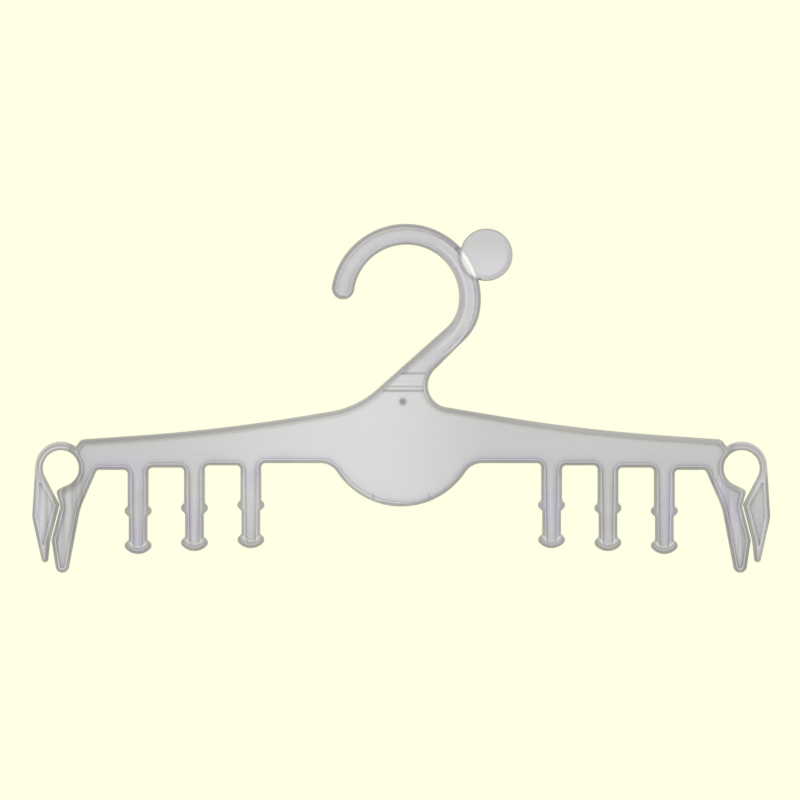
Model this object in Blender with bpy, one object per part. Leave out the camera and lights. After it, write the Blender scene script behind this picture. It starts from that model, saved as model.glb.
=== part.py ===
"""A one-shot moulded plastic hanger for delicates.

The hook, size disc, arms, strap prongs and fixed jaws are one rigid frame. At
each end a C-shaped spring bow carries a swinging jaw that grips cloth against
the fixed jaw.

Seen from the front, +X is to the right, +Z is up and the viewer looks along +Y.
The origin is the hook's inner crown, where the rail carries the hanger. Lengths
are in metres and angles in degrees.
"""

from math import acos, asin, atan2, ceil, cos, degrees, radians, sin, sqrt, tan

import bmesh
import bpy
from mathutils import Matrix, Vector

MM = 0.001

# Sections of the moulding
FRAME_DEPTH = 4.0 * MM          # front to back over the raised rim
WEB_THICKNESS = 1.6 * MM        # the thin skin inside the rim
RIM_WIDTH = 1.45 * MM           # flat top of the rim
RIM_DRAFT = 0.30 * MM           # how far the rim's inner wall leans
EDGE_CHAMFER = 0.25 * MM        # broken outer edge
CHORD_ERROR = 0.03 * MM         # how far a facet may stray from its arc

# Hook
BORE_RADIUS = 19.35 * MM        # the round space the rail goes through
BAND_AT_CROWN = 7.65 * MM       # hook width over the rail
BAND_AT_SIDE = 8.0 * MM         # hook width beside the rail, on the right
HOOK_OUTER_SHIFT = 0.2 * MM     # the outer arc is centred this far to the left
HOOK_TIP_ANGLE = 8.3            # the tip ends this far above the bore's centre line
BORE_BEND_RADIUS = 14.0 * MM    # inside bend from the bore into the neck
OUTER_BEND_RADIUS = 18.5 * MM   # the same bend outside

# Neck, which leans from the hook down to the left
NECK_INNER_SLOPE = 41.6         # degrees above the horizontal
NECK_OUTER_SLOPE = 44.8
NECK_INNER_CUT = 1.3 * MM       # its inner edge runs this far inside the bore's round
NECK_OUTER_CUT = 1.64 * MM      # and its outer edge inside the hook's outer round
NECK_LEFT_FILLET = 34.0 * MM
NECK_RIGHT_FILLET = 8.1 * MM

# Step across the neck, thicker than the web, with heights above the belly's centre
NECK_PAD_TOP = 20.4 * MM
NECK_PAD_FOOT = 15.7 * MM
NECK_PAD_THICKNESS = 2.8 * MM
NECK_LEDGE_FOOT = 14.2 * MM
NECK_LEDGE_THICKNESS = 2.2 * MM

# Round disc on the hook's shoulder, which takes a size sticker
DISC_RADIUS = 9.6 * MM
DISC_THICKNESS = 2.4 * MM
DISC_ANGLE = 28.7               # its place round the hook
DISC_STANDOFF = 6.15 * MM       # from the hook's outer edge to its centre
DISC_CHAMFER = 0.45 * MM

# Round belly under the neck, whose centre is the datum of the whole body
BODY_AXIS_X = -1.9 * MM         # a little left of the hook's crown
BODY_DROP = 67.9 * MM           # from the hook's crown down to the belly's centre
BELLY_RADIUS = 28.25 * MM
BELLY_FILLET = 7.35 * MM

# Arms, measured from the belly's centre
ARM_BEND_X = 66.4 * MM
ARM_BEND_DROP = 0.05 * MM
ARM_INNER_SLOPE = 9.4           # top edge, from the neck to the bend
ARM_OUTER_SLOPE = 4.0           # top edge, from the bend to the clip
ARM_BEND_RADIUS = 640.0 * MM
ARM_END_RADIUS = 2.6 * MM
ARM_FOOT_DROP = 12.35 * MM      # lower edge beside the belly
ARM_FOOT_STEP = 0.82 * MM       # it drops this much at each prong

# Gate mark on the front of the panel
GATE_RISE = 10.5 * MM           # above the belly's centre
GATE_RADIUS = 0.9 * MM
GATE_DEPTH = 0.35 * MM

# Strap prongs
PRONG_COUNT = 3                 # on each arm
PRONG_FIRST_X = 55.2 * MM
PRONG_PITCH = 20.7 * MM
PRONG_LENGTH = 31.2 * MM        # the first prong, below the arm's edge beside the belly
PRONG_TIP_STEP = 1.08 * MM      # each prong further out hangs this much lower
PRONG_UPPER_WIDTH = 7.7 * MM
PRONG_LOWER_WIDTH = 6.9 * MM
PRONG_ROOT_FILLET = 1.5 * MM
BUMP_HEIGHT = 15.75 * MM        # above the prong's lowest point
BUMP_HALF_LENGTH = 2.6 * MM
BUMP_WIDTH = 10.2 * MM          # over both bumps, before their tips are rounded
BUMP_RADIUS = 0.9 * MM
BUMP_FILLET = 0.8 * MM
FOOT_WIDTH = 10.5 * MM          # over both lips of the end, before they are rounded
FOOT_SLOPE = 45.0               # of the end's lower flanks
FOOT_FLANK = 1.3 * MM           # width of each flank, between the lip and the round bottom
FOOT_LIP_RADIUS = 1.0 * MM
FOOT_FLARE_HEIGHT = 5.6 * MM    # where the shank starts to widen
FOOT_FILLET = 1.0 * MM

# Clip eye and spring bow, with places measured from the eye's centre: U runs
# towards the hanger's middle and V runs up
EYE_REACH = 28.4 * MM           # from the outermost prong
EYE_RISE = 0.64 * MM            # above the arm's lower edge beside it
EYE_RADIUS = 6.6 * MM
BOW_OUTER_RADIUS = 9.35 * MM
BOW_RISE = 0.4 * MM             # the bow is thicker over its top
BOW_ROOT_ANGLE = 55.0           # where the bow leaves the arm
BOW_END_DIP = 5.0               # it turns into the swinging jaw this far below the level
SPLIT_GAP = 0.3 * MM            # between the bow and what it joins

# Fixed jaw
SHELF_SLOPE = 25.4              # eye to lip
LIP_FACE_U = -1.4 * MM
LIP_FACE_V = -9.4 * MM
LIP_RADIUS = 1.4 * MM
VALLEY_U = -0.15 * MM
VALLEY_V = -14.0 * MM
VALLEY_RADIUS = 1.2 * MM
TOOTH_U = -3.38 * MM
TOOTH_V = -26.4 * MM
TOOTH_RADIUS = 0.5 * MM
FIXED_TIP_U = 0.6 * MM
FIXED_TIP_V = -35.9 * MM
FIXED_TIP_RADIUS = 2.5 * MM
FIXED_BACK_U = 7.2 * MM
FIXED_BACK_V = -14.6 * MM
FIXED_BACK_RADIUS = 25.0 * MM
FIXED_ROOT_U = 13.3 * MM
FIXED_ROOT_FILLET = 1.2 * MM

# Swinging jaw
JAW_GAP = 0.45 * MM             # between the closed jaws
JAW_INNER_LEAN = 27.5           # upper inner edge, from the vertical
JAW_OUTER_LEAN = 3.5            # outer edge, from the vertical
JAW_BULGE_RADIUS = 1.5 * MM
JAW_GRIP_FILLET = 1.5 * MM
JAW_HEEL_V = -18.0 * MM
JAW_HEEL_RADIUS = 8.0 * MM
JAW_TIP_U = -5.8 * MM
JAW_TIP_V = -33.3 * MM
JAW_TIP_RADIUS = 1.25 * MM
JAW_RIM_WIDTH = 1.2 * MM
POCKET_CORNER = 0.6 * MM        # inside corners of the jaw's recess

CUTTER_EXCESS = 1.0 * MM        # how far a cutter stands out of what it cuts

PLASTIC_COLOUR = (0.66, 0.66, 0.68, 1.0)
PLASTIC_ROUGHNESS = 0.32


def direction(angle):
    return Vector((cos(radians(angle)), sin(radians(angle))))


def inward(heading):
    """The side of the material on an outline that runs clockwise."""
    return Vector((heading.y, -heading.x))


def meet(point_a, angle_a, point_b, angle_b):
    """Where two lines cross, each given by a point and its angle."""
    along = direction(angle_a)
    across = inward(direction(angle_b))
    return point_a + along * ((point_b - point_a).dot(across) / along.dot(across))


def touch(point, centre, radius, side):
    """Angle on a circle where a line from the point touches it.

    side is +1 where the touching point lies anticlockwise of the point.
    """
    away = point - centre
    return degrees(atan2(away.y, away.x)) + side * degrees(acos(radius / away.length))


def corner(point, radius=0.0):
    return {"kind": "corner", "start": point, "end": point, "radius": radius}


def arc(centre, radius, start, end, sharp_start=False, sharp_end=False):
    """A round stretch. A falling angle is convex and a rising one is hollow."""
    return {"kind": "arc", "centre": centre, "radius": radius,
            "start": centre + direction(start) * radius,
            "end": centre + direction(end) * radius,
            "angles": (start, end), "sharp": (sharp_start, sharp_end)}


def facets(radius, sweep):
    """How many chords keep an arc within the chord error."""
    step = 2 * degrees(acos(max(0.0, 1 - CHORD_ERROR / radius)))
    return max(1, ceil(abs(sweep) / step))


def corner_samples(item, before, after):
    """Samples of one corner: each gives its place for any inset."""
    point, radius = item["start"], item["radius"]
    normal_in = inward((point - before).normalized())
    normal_out = inward((after - point).normalized())
    mitre = (normal_in + normal_out) / (1 + normal_in.dot(normal_out))
    if radius == 0.0:
        return [lambda inset: point + mitre * inset]
    turn = degrees(normal_in.angle_signed(normal_out))
    convex = normal_in.cross(normal_out) < 0
    side = 1 if convex else -1
    centre = point + mitre * radius * side
    first = degrees(atan2(normal_in.y, normal_in.x))
    sweep = -abs(turn) if convex else abs(turn)
    count = facets(radius, sweep)

    def sample(angle):
        normal = direction(angle)
        if convex:
            return lambda inset: (centre - normal * (radius - inset) if inset <= radius
                                  else centre + mitre * (inset - radius))
        return lambda inset: centre + normal * (radius + inset)

    return [sample(first + sweep * i / count) for i in range(count + 1)]


def arc_samples(item):
    """Samples of one arc, kept off a sharp end by the same inset as the arc."""
    centre, radius = item["centre"], item["radius"]
    start, end = item["angles"]
    sharp_start, sharp_end = item["sharp"]
    rising = 1 if end > start else -1

    def sample(angle):
        def place(inset):
            reach = radius + rising * inset
            margin = degrees(asin(min(1.0, inset / reach)))
            low = start + rising * margin if sharp_start else start
            high = end - rising * margin if sharp_end else end
            held = max(low, min(high, angle)) if rising > 0 else min(low, max(high, angle))
            return centre + direction(held) * reach
        return place

    count = facets(radius, end - start)
    return [sample(start + (end - start) * i / count) for i in range(count + 1)]


def outline(items):
    """Samples right round a closed clockwise outline."""
    samples = []
    for i, item in enumerate(items):
        if item["kind"] == "arc":
            samples += arc_samples(item)
        else:
            after = items[(i + 1) % len(items)]["start"]
            samples += corner_samples(item, items[i - 1]["end"], after)
    return samples


def mirrored(items):
    """The same stretch of outline on the other side of the centre line."""
    result = []
    for item in reversed(items):
        if item["kind"] == "corner":
            point = Vector((-item["start"].x, item["start"].y))
            result.append(corner(point, item["radius"]))
        else:
            centre = Vector((-item["centre"].x, item["centre"].y))
            start, end = item["angles"]
            sharp_start, sharp_end = item["sharp"]
            result.append(arc(centre, item["radius"], 180 - end, 180 - start,
                              sharp_end, sharp_start))
    return result


def shifted(items, offset):
    """The same stretch of outline moved sideways."""
    result = []
    for item in items:
        moved = dict(item)
        for key in ("start", "end", "centre"):
            if key in moved:
                moved[key] = moved[key] + offset
        result.append(moved)
    return result


def loft(samples, stations):
    """A closed solid from insets of one outline at their depths along Y."""
    bm = bmesh.new()
    loops = []
    for inset, y in stations:
        places = [sample(inset) for sample in samples]
        loops.append([bm.verts.new((place.x, y, place.y)) for place in places])
    for near, far in zip(loops, loops[1:]):
        for i in range(len(near)):
            bm.faces.new((near[i - 1], near[i], far[i], far[i - 1]))
    bmesh.ops.remove_doubles(bm, verts=bm.verts[:], dist=0.002 * MM)
    rims = [edge for edge in bm.edges if edge.is_boundary]
    bmesh.ops.holes_fill(bm, edges=rims, sides=0)
    bmesh.ops.recalc_face_normals(bm, faces=bm.faces[:])
    return bm


def plate_stations(depth, chamfer, inset=0.0):
    """Stations of a plain plate with broken edges."""
    half = depth / 2
    return [(inset + chamfer, -half), (inset, -half + chamfer),
            (inset, half - chamfer), (inset + chamfer, half)]


def rimmed_stations():
    """Stations of a thin web with a raised rim on both faces."""
    half_web = WEB_THICKNESS / 2
    front_web = (RIM_WIDTH + RIM_DRAFT, -half_web)
    back_web = (RIM_WIDTH + RIM_DRAFT, half_web)
    half = FRAME_DEPTH / 2
    return ([front_web, (RIM_WIDTH, -half)] + plate_stations(FRAME_DEPTH, EDGE_CHAMFER)
            + [(RIM_WIDTH, half), back_web])


def plastic(name):
    material = bpy.data.materials.new(name)
    material.use_nodes = True
    shader = material.node_tree.nodes["Principled BSDF"]
    shader.inputs["Base Color"].default_value = PLASTIC_COLOUR
    shader.inputs["Roughness"].default_value = PLASTIC_ROUGHNESS
    shader.inputs["Metallic"].default_value = 0.0
    material.diffuse_color = PLASTIC_COLOUR
    return material


def add_object(name, bm, parent=None):
    """A finished sub-part, with its own material."""
    mesh = bpy.data.meshes.new(name)
    bm.to_mesh(mesh)
    bm.free()
    mesh.materials.append(plastic(name + "_plastic"))
    mesh.shade_smooth()
    mesh.set_sharp_from_angle(angle=radians(30))
    obj = bpy.data.objects.new(name, mesh)
    bpy.context.scene.collection.objects.link(obj)
    obj.parent = parent
    return obj


def add_tool(name, bm):
    """A helper solid for a Boolean, left out of the part."""
    mesh = bpy.data.meshes.new(name)
    bm.to_mesh(mesh)
    bm.free()
    obj = bpy.data.objects.new(name, mesh)
    bpy.context.scene.collection.objects.link(obj)
    obj.hide_render = True
    obj.display_type = "WIRE"
    return obj


def combine(obj, tool, operation):
    modifier = obj.modifiers.new(tool.name, "BOOLEAN")
    modifier.operation = operation
    modifier.solver = "EXACT"
    modifier.object = tool


def round_tool(name, x, z, radius, y_low, y_high, chamfer=0.0):
    """A short round solid that runs along Y, with both rims chamfered."""
    bm = bmesh.new()
    sides = facets(radius, 360.0)
    bmesh.ops.create_circle(bm, cap_ends=True, radius=radius, segments=sides)
    extruded = bmesh.ops.extrude_face_region(bm, geom=bm.faces[:])
    top = [item for item in extruded["geom"] if isinstance(item, bmesh.types.BMVert)]
    bmesh.ops.translate(bm, verts=top, vec=(0, 0, y_high - y_low))
    bmesh.ops.recalc_face_normals(bm, faces=bm.faces[:])
    if chamfer:
        rims = [edge for edge in bm.edges
                if abs(edge.verts[0].co.z - edge.verts[1].co.z) < chamfer]
        bmesh.ops.bevel(bm, geom=rims, offset=chamfer, segments=1, profile=0.5,
                        affect="EDGES", material=-1)
    turned = Matrix.Translation((x, y_low, z)) @ Matrix.Rotation(radians(-90), 4, "X")
    bmesh.ops.transform(bm, matrix=turned, verts=bm.verts[:])
    return add_tool(name, bm)


# The hook and the neck, in the part's own coordinates

HOOK_OUTER_RADIUS = BORE_RADIUS + BAND_AT_SIDE + HOOK_OUTER_SHIFT
BORE_CENTRE = Vector((0.0, -BORE_RADIUS))
HOOK_CENTRE = Vector((-HOOK_OUTER_SHIFT, BAND_AT_CROWN - HOOK_OUTER_RADIUS))
BODY_SHIFT = Vector((BODY_AXIS_X, -BODY_DROP))
ARM_BEND = Vector((ARM_BEND_X, -ARM_BEND_DROP))


def bend_arc(centre, radius, slope, cut, bend_radius):
    """The tighter arc that eases a round stretch into a straight one.

    The straight one runs the cut inside the round one. Gives a point on it, the
    bend's centre and the angle where the bend leaves the round stretch.
    """
    normal_angle = slope - 90
    reach = radius - cut
    lean = degrees(acos((reach - bend_radius) / (radius - bend_radius)))
    leave = normal_angle + lean
    return (centre + direction(normal_angle) * reach,
            centre + direction(leave) * (radius - bend_radius), leave)


def tip_cap(tip):
    """The circle that rounds the hook's end and touches both of its edges.

    Gives its centre, its radius and the angle where it leaves the outer edge.
    """
    offset = BORE_CENTRE - HOOK_CENTRE
    lean = offset.dot(direction(tip))
    radius = ((HOOK_OUTER_RADIUS ** 2 - BORE_RADIUS ** 2 - offset.dot(offset)
               - 2 * BORE_RADIUS * lean)
              / (2 * (lean + BORE_RADIUS + HOOK_OUTER_RADIUS)))
    centre = BORE_CENTRE + direction(tip) * (BORE_RADIUS + radius)
    away = centre - HOOK_CENTRE
    return centre, radius, degrees(atan2(away.y, away.x))


def hook_items():
    """Left neck edge, bore, tip, outer arc and right neck edge, clockwise."""
    inner_edge, bore_bend, bore_leave = bend_arc(
        BORE_CENTRE, BORE_RADIUS, NECK_INNER_SLOPE, NECK_INNER_CUT, BORE_BEND_RADIUS)
    outer_edge, outer_bend, outer_leave = bend_arc(
        HOOK_CENTRE, HOOK_OUTER_RADIUS, NECK_OUTER_SLOPE, NECK_OUTER_CUT, OUTER_BEND_RADIUS)
    left_root = meet(BODY_SHIFT + Vector((-ARM_BEND.x, ARM_BEND.y)), ARM_INNER_SLOPE,
                     inner_edge, NECK_INNER_SLOPE)
    right_root = meet(BODY_SHIFT + ARM_BEND, -ARM_INNER_SLOPE,
                      outer_edge, NECK_OUTER_SLOPE)
    tip = 180 - HOOK_TIP_ANGLE
    cap_centre, cap_radius, outer_tip = tip_cap(tip)
    return [
        corner(left_root, NECK_LEFT_FILLET),
        arc(bore_bend, BORE_BEND_RADIUS, NECK_INNER_SLOPE - 90, bore_leave),
        arc(BORE_CENTRE, BORE_RADIUS, bore_leave, tip),
        arc(cap_centre, cap_radius, tip - 180, outer_tip - 360),
        arc(HOOK_CENTRE, HOOK_OUTER_RADIUS, outer_tip, outer_leave),
        arc(outer_bend, OUTER_BEND_RADIUS, outer_leave, NECK_OUTER_SLOPE - 90),
        corner(right_root, NECK_RIGHT_FILLET),
    ]


# Half of the body, measured from the belly's centre, right-hand side

def arm_foot(prongs_passed):
    """Height of the arm's lower edge, which drops a little at each prong."""
    return -ARM_FOOT_DROP - ARM_FOOT_STEP * prongs_passed


def prong_x(index):
    return PRONG_FIRST_X + PRONG_PITCH * index


EYE_CENTRE = Vector((prong_x(PRONG_COUNT - 1) + EYE_REACH, arm_foot(PRONG_COUNT) + EYE_RISE))


def clip(u, v):
    """A place near the clip, from its distance to the eye's centre."""
    return EYE_CENTRE + Vector((-u, v))


def clip_angle(angle):
    """An angle at the eye, counted from the direction of the hanger's middle."""
    return 180.0 - angle


def prong_items(index):
    """One prong, from its outer root round its end to its inner root."""
    x = prong_x(index)
    tip = -ARM_FOOT_DROP - PRONG_LENGTH - PRONG_TIP_STEP * index
    upper, lower = PRONG_UPPER_WIDTH / 2, PRONG_LOWER_WIDTH / 2
    lip = FOOT_WIDTH / 2
    foot_radius = (lip - FOOT_FLANK) / sin(radians(FOOT_SLOPE))
    foot_corner = foot_radius - foot_radius / cos(radians(FOOT_SLOPE))
    lip_height = foot_corner + lip * tan(radians(FOOT_SLOPE))
    outer_side = [
        (upper, BUMP_HEIGHT + BUMP_HALF_LENGTH, BUMP_FILLET),
        (BUMP_WIDTH / 2, BUMP_HEIGHT, BUMP_RADIUS),
        (lower, BUMP_HEIGHT - BUMP_HALF_LENGTH, BUMP_FILLET),
        (lower, FOOT_FLARE_HEIGHT, FOOT_FILLET),
        (lip, lip_height, FOOT_LIP_RADIUS),
    ]
    down = [corner(Vector((x + side, tip + height)), radius)
            for side, height, radius in outer_side]
    up = [corner(Vector((x - side, tip + height)), radius)
          for side, height, radius in reversed(outer_side)]
    return ([corner(Vector((x + upper, arm_foot(index + 1))), PRONG_ROOT_FILLET)] + down
            + [corner(Vector((x, tip + foot_corner)), foot_radius)] + up
            + [corner(Vector((x - upper, arm_foot(index))), PRONG_ROOT_FILLET)])


def fixed_jaw_items():
    """The eye's wall, lip, grip, tip and back of the fixed jaw."""
    shelf_angle = SHELF_SLOPE - 90
    shelf = EYE_CENTRE + direction(clip_angle(shelf_angle)) * EYE_RADIUS
    lip_face = clip(LIP_FACE_U, LIP_FACE_V)
    valley = clip(VALLEY_U, VALLEY_V)
    along_face = valley - lip_face
    lip = meet(shelf, -SHELF_SLOPE, lip_face, degrees(atan2(along_face.y, along_face.x)))
    tooth = clip(TOOTH_U, TOOTH_V)
    tip = clip(FIXED_TIP_U, FIXED_TIP_V)
    back = clip(FIXED_BACK_U, FIXED_BACK_V)
    root = Vector((EYE_CENTRE.x - FIXED_ROOT_U, arm_foot(PRONG_COUNT)))
    return [
        arc(EYE_CENTRE, EYE_RADIUS, clip_angle(BOW_ROOT_ANGLE), clip_angle(shelf_angle),
            sharp_start=True),
        corner(lip, LIP_RADIUS),
        corner(valley, VALLEY_RADIUS),
        corner(tooth, TOOTH_RADIUS),
        arc(tip, FIXED_TIP_RADIUS, touch(tooth, tip, FIXED_TIP_RADIUS, -1),
            touch(back, tip, FIXED_TIP_RADIUS, 1) - 360),
        corner(back, FIXED_BACK_RADIUS),
        corner(root, FIXED_ROOT_FILLET),
    ]


def belly_items():
    """The hollow fillet beside the belly and the belly down to its lowest point."""
    drop = ARM_FOOT_DROP + BELLY_FILLET
    reach = BELLY_RADIUS + BELLY_FILLET
    fillet = Vector((sqrt(reach ** 2 - drop ** 2), -drop))
    leave = -degrees(asin(drop / reach))
    return [
        arc(fillet, BELLY_FILLET, 90.0, 180.0 + leave),
        arc(Vector((0.0, 0.0)), BELLY_RADIUS, leave, -90.0),
    ]


def half_body_items():
    """Arm, clip end, prongs and belly on the right, clockwise."""
    arm_end = meet(ARM_BEND, -ARM_OUTER_SLOPE, EYE_CENTRE, clip_angle(BOW_ROOT_ANGLE))
    items = [corner(ARM_BEND, ARM_BEND_RADIUS), corner(arm_end, ARM_END_RADIUS)]
    items += fixed_jaw_items()
    for index in reversed(range(PRONG_COUNT)):
        items += prong_items(index)
    return items + belly_items()


def frame_items():
    right = half_body_items()
    return (hook_items() + shifted(right, BODY_SHIFT)
            + shifted(mirrored(right), BODY_SHIFT))


# The spring bow and the swinging jaw, on the same half

BOW_END_ANGLE = 180.0 + BOW_END_DIP


def bow_centre():
    return EYE_CENTRE + Vector((0.0, BOW_RISE))


def jaw_edge_start():
    """Where the bow's outside runs into the jaw's straight outer edge."""
    return bow_centre() + direction(JAW_OUTER_LEAN) * BOW_OUTER_RADIUS


def outer_edge_at(angle):
    """Where a line from the eye's centre crosses the jaw's straight outer edge."""
    return meet(EYE_CENTRE, clip_angle(angle), jaw_edge_start(), JAW_OUTER_LEAN - 90)


def split_angle():
    """The split gap as an angle at the middle of the bow's band."""
    return degrees(SPLIT_GAP / ((EYE_RADIUS + BOW_OUTER_RADIUS) / 2))


def bow_items():
    """The spring bow, from its root on the arm to the jaw."""
    start = clip_angle(BOW_ROOT_ANGLE + split_angle())
    end_angle = BOW_END_ANGLE - split_angle()
    end = clip_angle(end_angle)
    ray = direction(start)
    rise = EYE_CENTRE - bow_centre()
    along = -rise.dot(ray) + sqrt(rise.dot(ray) ** 2 - rise.dot(rise) + BOW_OUTER_RADIUS ** 2)
    root = EYE_CENTRE + ray * along - bow_centre()
    return [
        arc(bow_centre(), BOW_OUTER_RADIUS, degrees(atan2(root.y, root.x)), JAW_OUTER_LEAN,
            sharp_start=True),
        corner(outer_edge_at(end_angle)),
        arc(EYE_CENTRE, EYE_RADIUS, end, start, sharp_start=True, sharp_end=True),
    ]


def jaw_edges():
    """The jaw's own corners: bulge, grip end, and heel."""
    valley, tooth = clip(VALLEY_U, VALLEY_V), clip(TOOTH_U, TOOTH_V)
    grip = (tooth - valley).normalized()
    clear = Vector((-grip.y, grip.x)) * JAW_GAP
    grip_slope = degrees(atan2(grip.y, grip.x))
    inner_touch = clip_angle(180 + JAW_INNER_LEAN)
    inner = EYE_CENTRE + direction(inner_touch) * EYE_RADIUS
    bulge = meet(inner, inner_touch - 90, valley + clear, grip_slope)
    heel = meet(clip(0.0, JAW_HEEL_V), 0.0, jaw_edge_start(), JAW_OUTER_LEAN - 90)
    return bulge, tooth + clear, heel


def jaw_items():
    """The swinging jaw, clockwise from its root on the bow's outside."""
    bulge, grip_end, heel = jaw_edges()
    tip = clip(JAW_TIP_U, JAW_TIP_V)
    return [
        corner(heel, JAW_HEEL_RADIUS),
        arc(tip, JAW_TIP_RADIUS, touch(heel, tip, JAW_TIP_RADIUS, -1),
            touch(grip_end, tip, JAW_TIP_RADIUS, 1) - 360),
        corner(grip_end, JAW_GRIP_FILLET),
        corner(bulge, JAW_BULGE_RADIUS),
        arc(EYE_CENTRE, EYE_RADIUS, clip_angle(180 + JAW_INNER_LEAN),
            clip_angle(BOW_END_ANGLE), sharp_end=True),
        corner(outer_edge_at(BOW_END_ANGLE)),
    ]


def pocket_items():
    """The jaw's recess before its inset, with straight sides and five corners."""
    bulge, grip_end, heel = jaw_edges()
    root = jaw_edge_start()
    tip = clip(JAW_TIP_U, JAW_TIP_V)
    outer_touch = touch(heel, tip, JAW_TIP_RADIUS, -1)
    inner_touch = touch(grip_end, tip, JAW_TIP_RADIUS, 1)
    point = meet(heel, outer_touch - 90, grip_end, inner_touch - 90)
    top = meet(root, JAW_OUTER_LEAN - 90, bulge, clip_angle(180 + JAW_INNER_LEAN) - 90)
    round_corner = JAW_RIM_WIDTH + RIM_DRAFT + POCKET_CORNER
    return [corner(top), corner(heel, round_corner), corner(point),
            corner(grip_end), corner(bulge, round_corner)]


def pocket_stations(side):
    """Stations of a cutter for the recess on the front, -1, or the back, +1."""
    face = FRAME_DEPTH / 2
    return [(JAW_RIM_WIDTH + RIM_DRAFT, side * WEB_THICKNESS / 2),
            (JAW_RIM_WIDTH, side * face), (JAW_RIM_WIDTH, side * (face + CUTTER_EXCESS))]


def neck_step(name, foot, thickness):
    """A thicker slice of the neck, from mid rim to mid rim."""
    bm = loft(outline(frame_items()),
              plate_stations(thickness, EDGE_CHAMFER, inset=RIM_WIDTH / 2))
    for rise, up in ((foot, -1), (NECK_PAD_TOP, 1)):
        bmesh.ops.bisect_plane(bm, geom=bm.verts[:] + bm.edges[:] + bm.faces[:],
                               plane_co=(0, 0, rise - BODY_DROP), plane_no=(0, 0, up),
                               clear_outer=True)
        cut = [edge for edge in bm.edges if edge.is_boundary]
        bmesh.ops.holes_fill(bm, edges=cut, sides=0)
    bmesh.ops.recalc_face_normals(bm, faces=bm.faces[:])
    return add_tool(name, bm)


def make_frame(parent):
    """Hook, disc, neck, arms, prongs and fixed jaws in one piece."""
    frame = add_object("hanger_frame", loft(outline(frame_items()), rimmed_stations()), parent)
    half_disc = DISC_THICKNESS / 2
    centre = HOOK_CENTRE + direction(DISC_ANGLE) * (HOOK_OUTER_RADIUS + DISC_STANDOFF)
    disc = round_tool("size_disc", centre.x, centre.y, DISC_RADIUS,
                      -half_disc, half_disc, DISC_CHAMFER)
    combine(frame, disc, "UNION")
    combine(frame, neck_step("neck_pad", NECK_PAD_FOOT, NECK_PAD_THICKNESS), "UNION")
    combine(frame, neck_step("neck_ledge", NECK_LEDGE_FOOT, NECK_LEDGE_THICKNESS), "UNION")
    web_face = -WEB_THICKNESS / 2
    gate = round_tool("gate_mark", BODY_AXIS_X, GATE_RISE - BODY_DROP, GATE_RADIUS,
                      web_face - CUTTER_EXCESS, web_face + GATE_DEPTH)
    combine(frame, gate, "DIFFERENCE")
    return frame


def jaw_pivot():
    """The point that the bow bends about: the centroid of its curved band."""
    mid_radius = (EYE_RADIUS + BOW_OUTER_RADIUS) / 2
    half_sweep = radians(BOW_END_ANGLE - BOW_ROOT_ANGLE) / 2
    mid_angle = (BOW_ROOT_ANGLE + BOW_END_ANGLE) / 2
    reach = mid_radius * sin(half_sweep) / half_sweep
    return EYE_CENTRE + direction(clip_angle(mid_angle)) * reach


def make_clip(side, parent):
    """One spring bow and its swinging jaw, right as modelled or left mirrored."""
    name = "right" if side > 0 else "left"

    def placed(items):
        return outline(shifted(items if side > 0 else mirrored(items), BODY_SHIFT))

    bow = loft(placed(bow_items()), plate_stations(FRAME_DEPTH, EDGE_CHAMFER))
    add_object(name + "_spring_bow", bow, parent)

    pivot = jaw_pivot()
    pivot_place = Vector((BODY_SHIFT.x + side * pivot.x, 0.0, BODY_SHIFT.y + pivot.y))
    jaw_mesh = loft(placed(jaw_items()), plate_stations(FRAME_DEPTH, EDGE_CHAMFER))
    bmesh.ops.translate(jaw_mesh, verts=jaw_mesh.verts[:], vec=-pivot_place)
    jaw = add_object(name + "_clip_jaw", jaw_mesh, parent)
    jaw.location = pivot_place
    for face, face_side in (("front", -1), ("back", 1)):
        cutter = loft(placed(pocket_items()), pocket_stations(face_side))
        combine(jaw, add_tool(name + "_jaw_pocket_" + face, cutter), "DIFFERENCE")


for obj in list(bpy.data.objects):
    bpy.data.objects.remove(obj)

hanger = bpy.data.objects.new("hanger", None)
bpy.context.scene.collection.objects.link(hanger)
make_frame(hanger)
make_clip(-1, hanger)
make_clip(1, hanger)
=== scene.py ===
"""The looks of a one-shot moulded plastic hanger for delicates.

Seen from the front, +X is to the right, +Z is up and the camera looks along +Y.
The origin is the hook's inner crown. Lengths are in metres, angles in degrees.
An outline is a list of stretches in the X-Z plane that runs clockwise as seen
from the front, so the plastic always lies to the right of it.
"""

from math import acos, asin, atan2, ceil, cos, degrees, radians, sin, sqrt, tan

import bmesh
import bpy
from mathutils import Matrix, Vector


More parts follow.
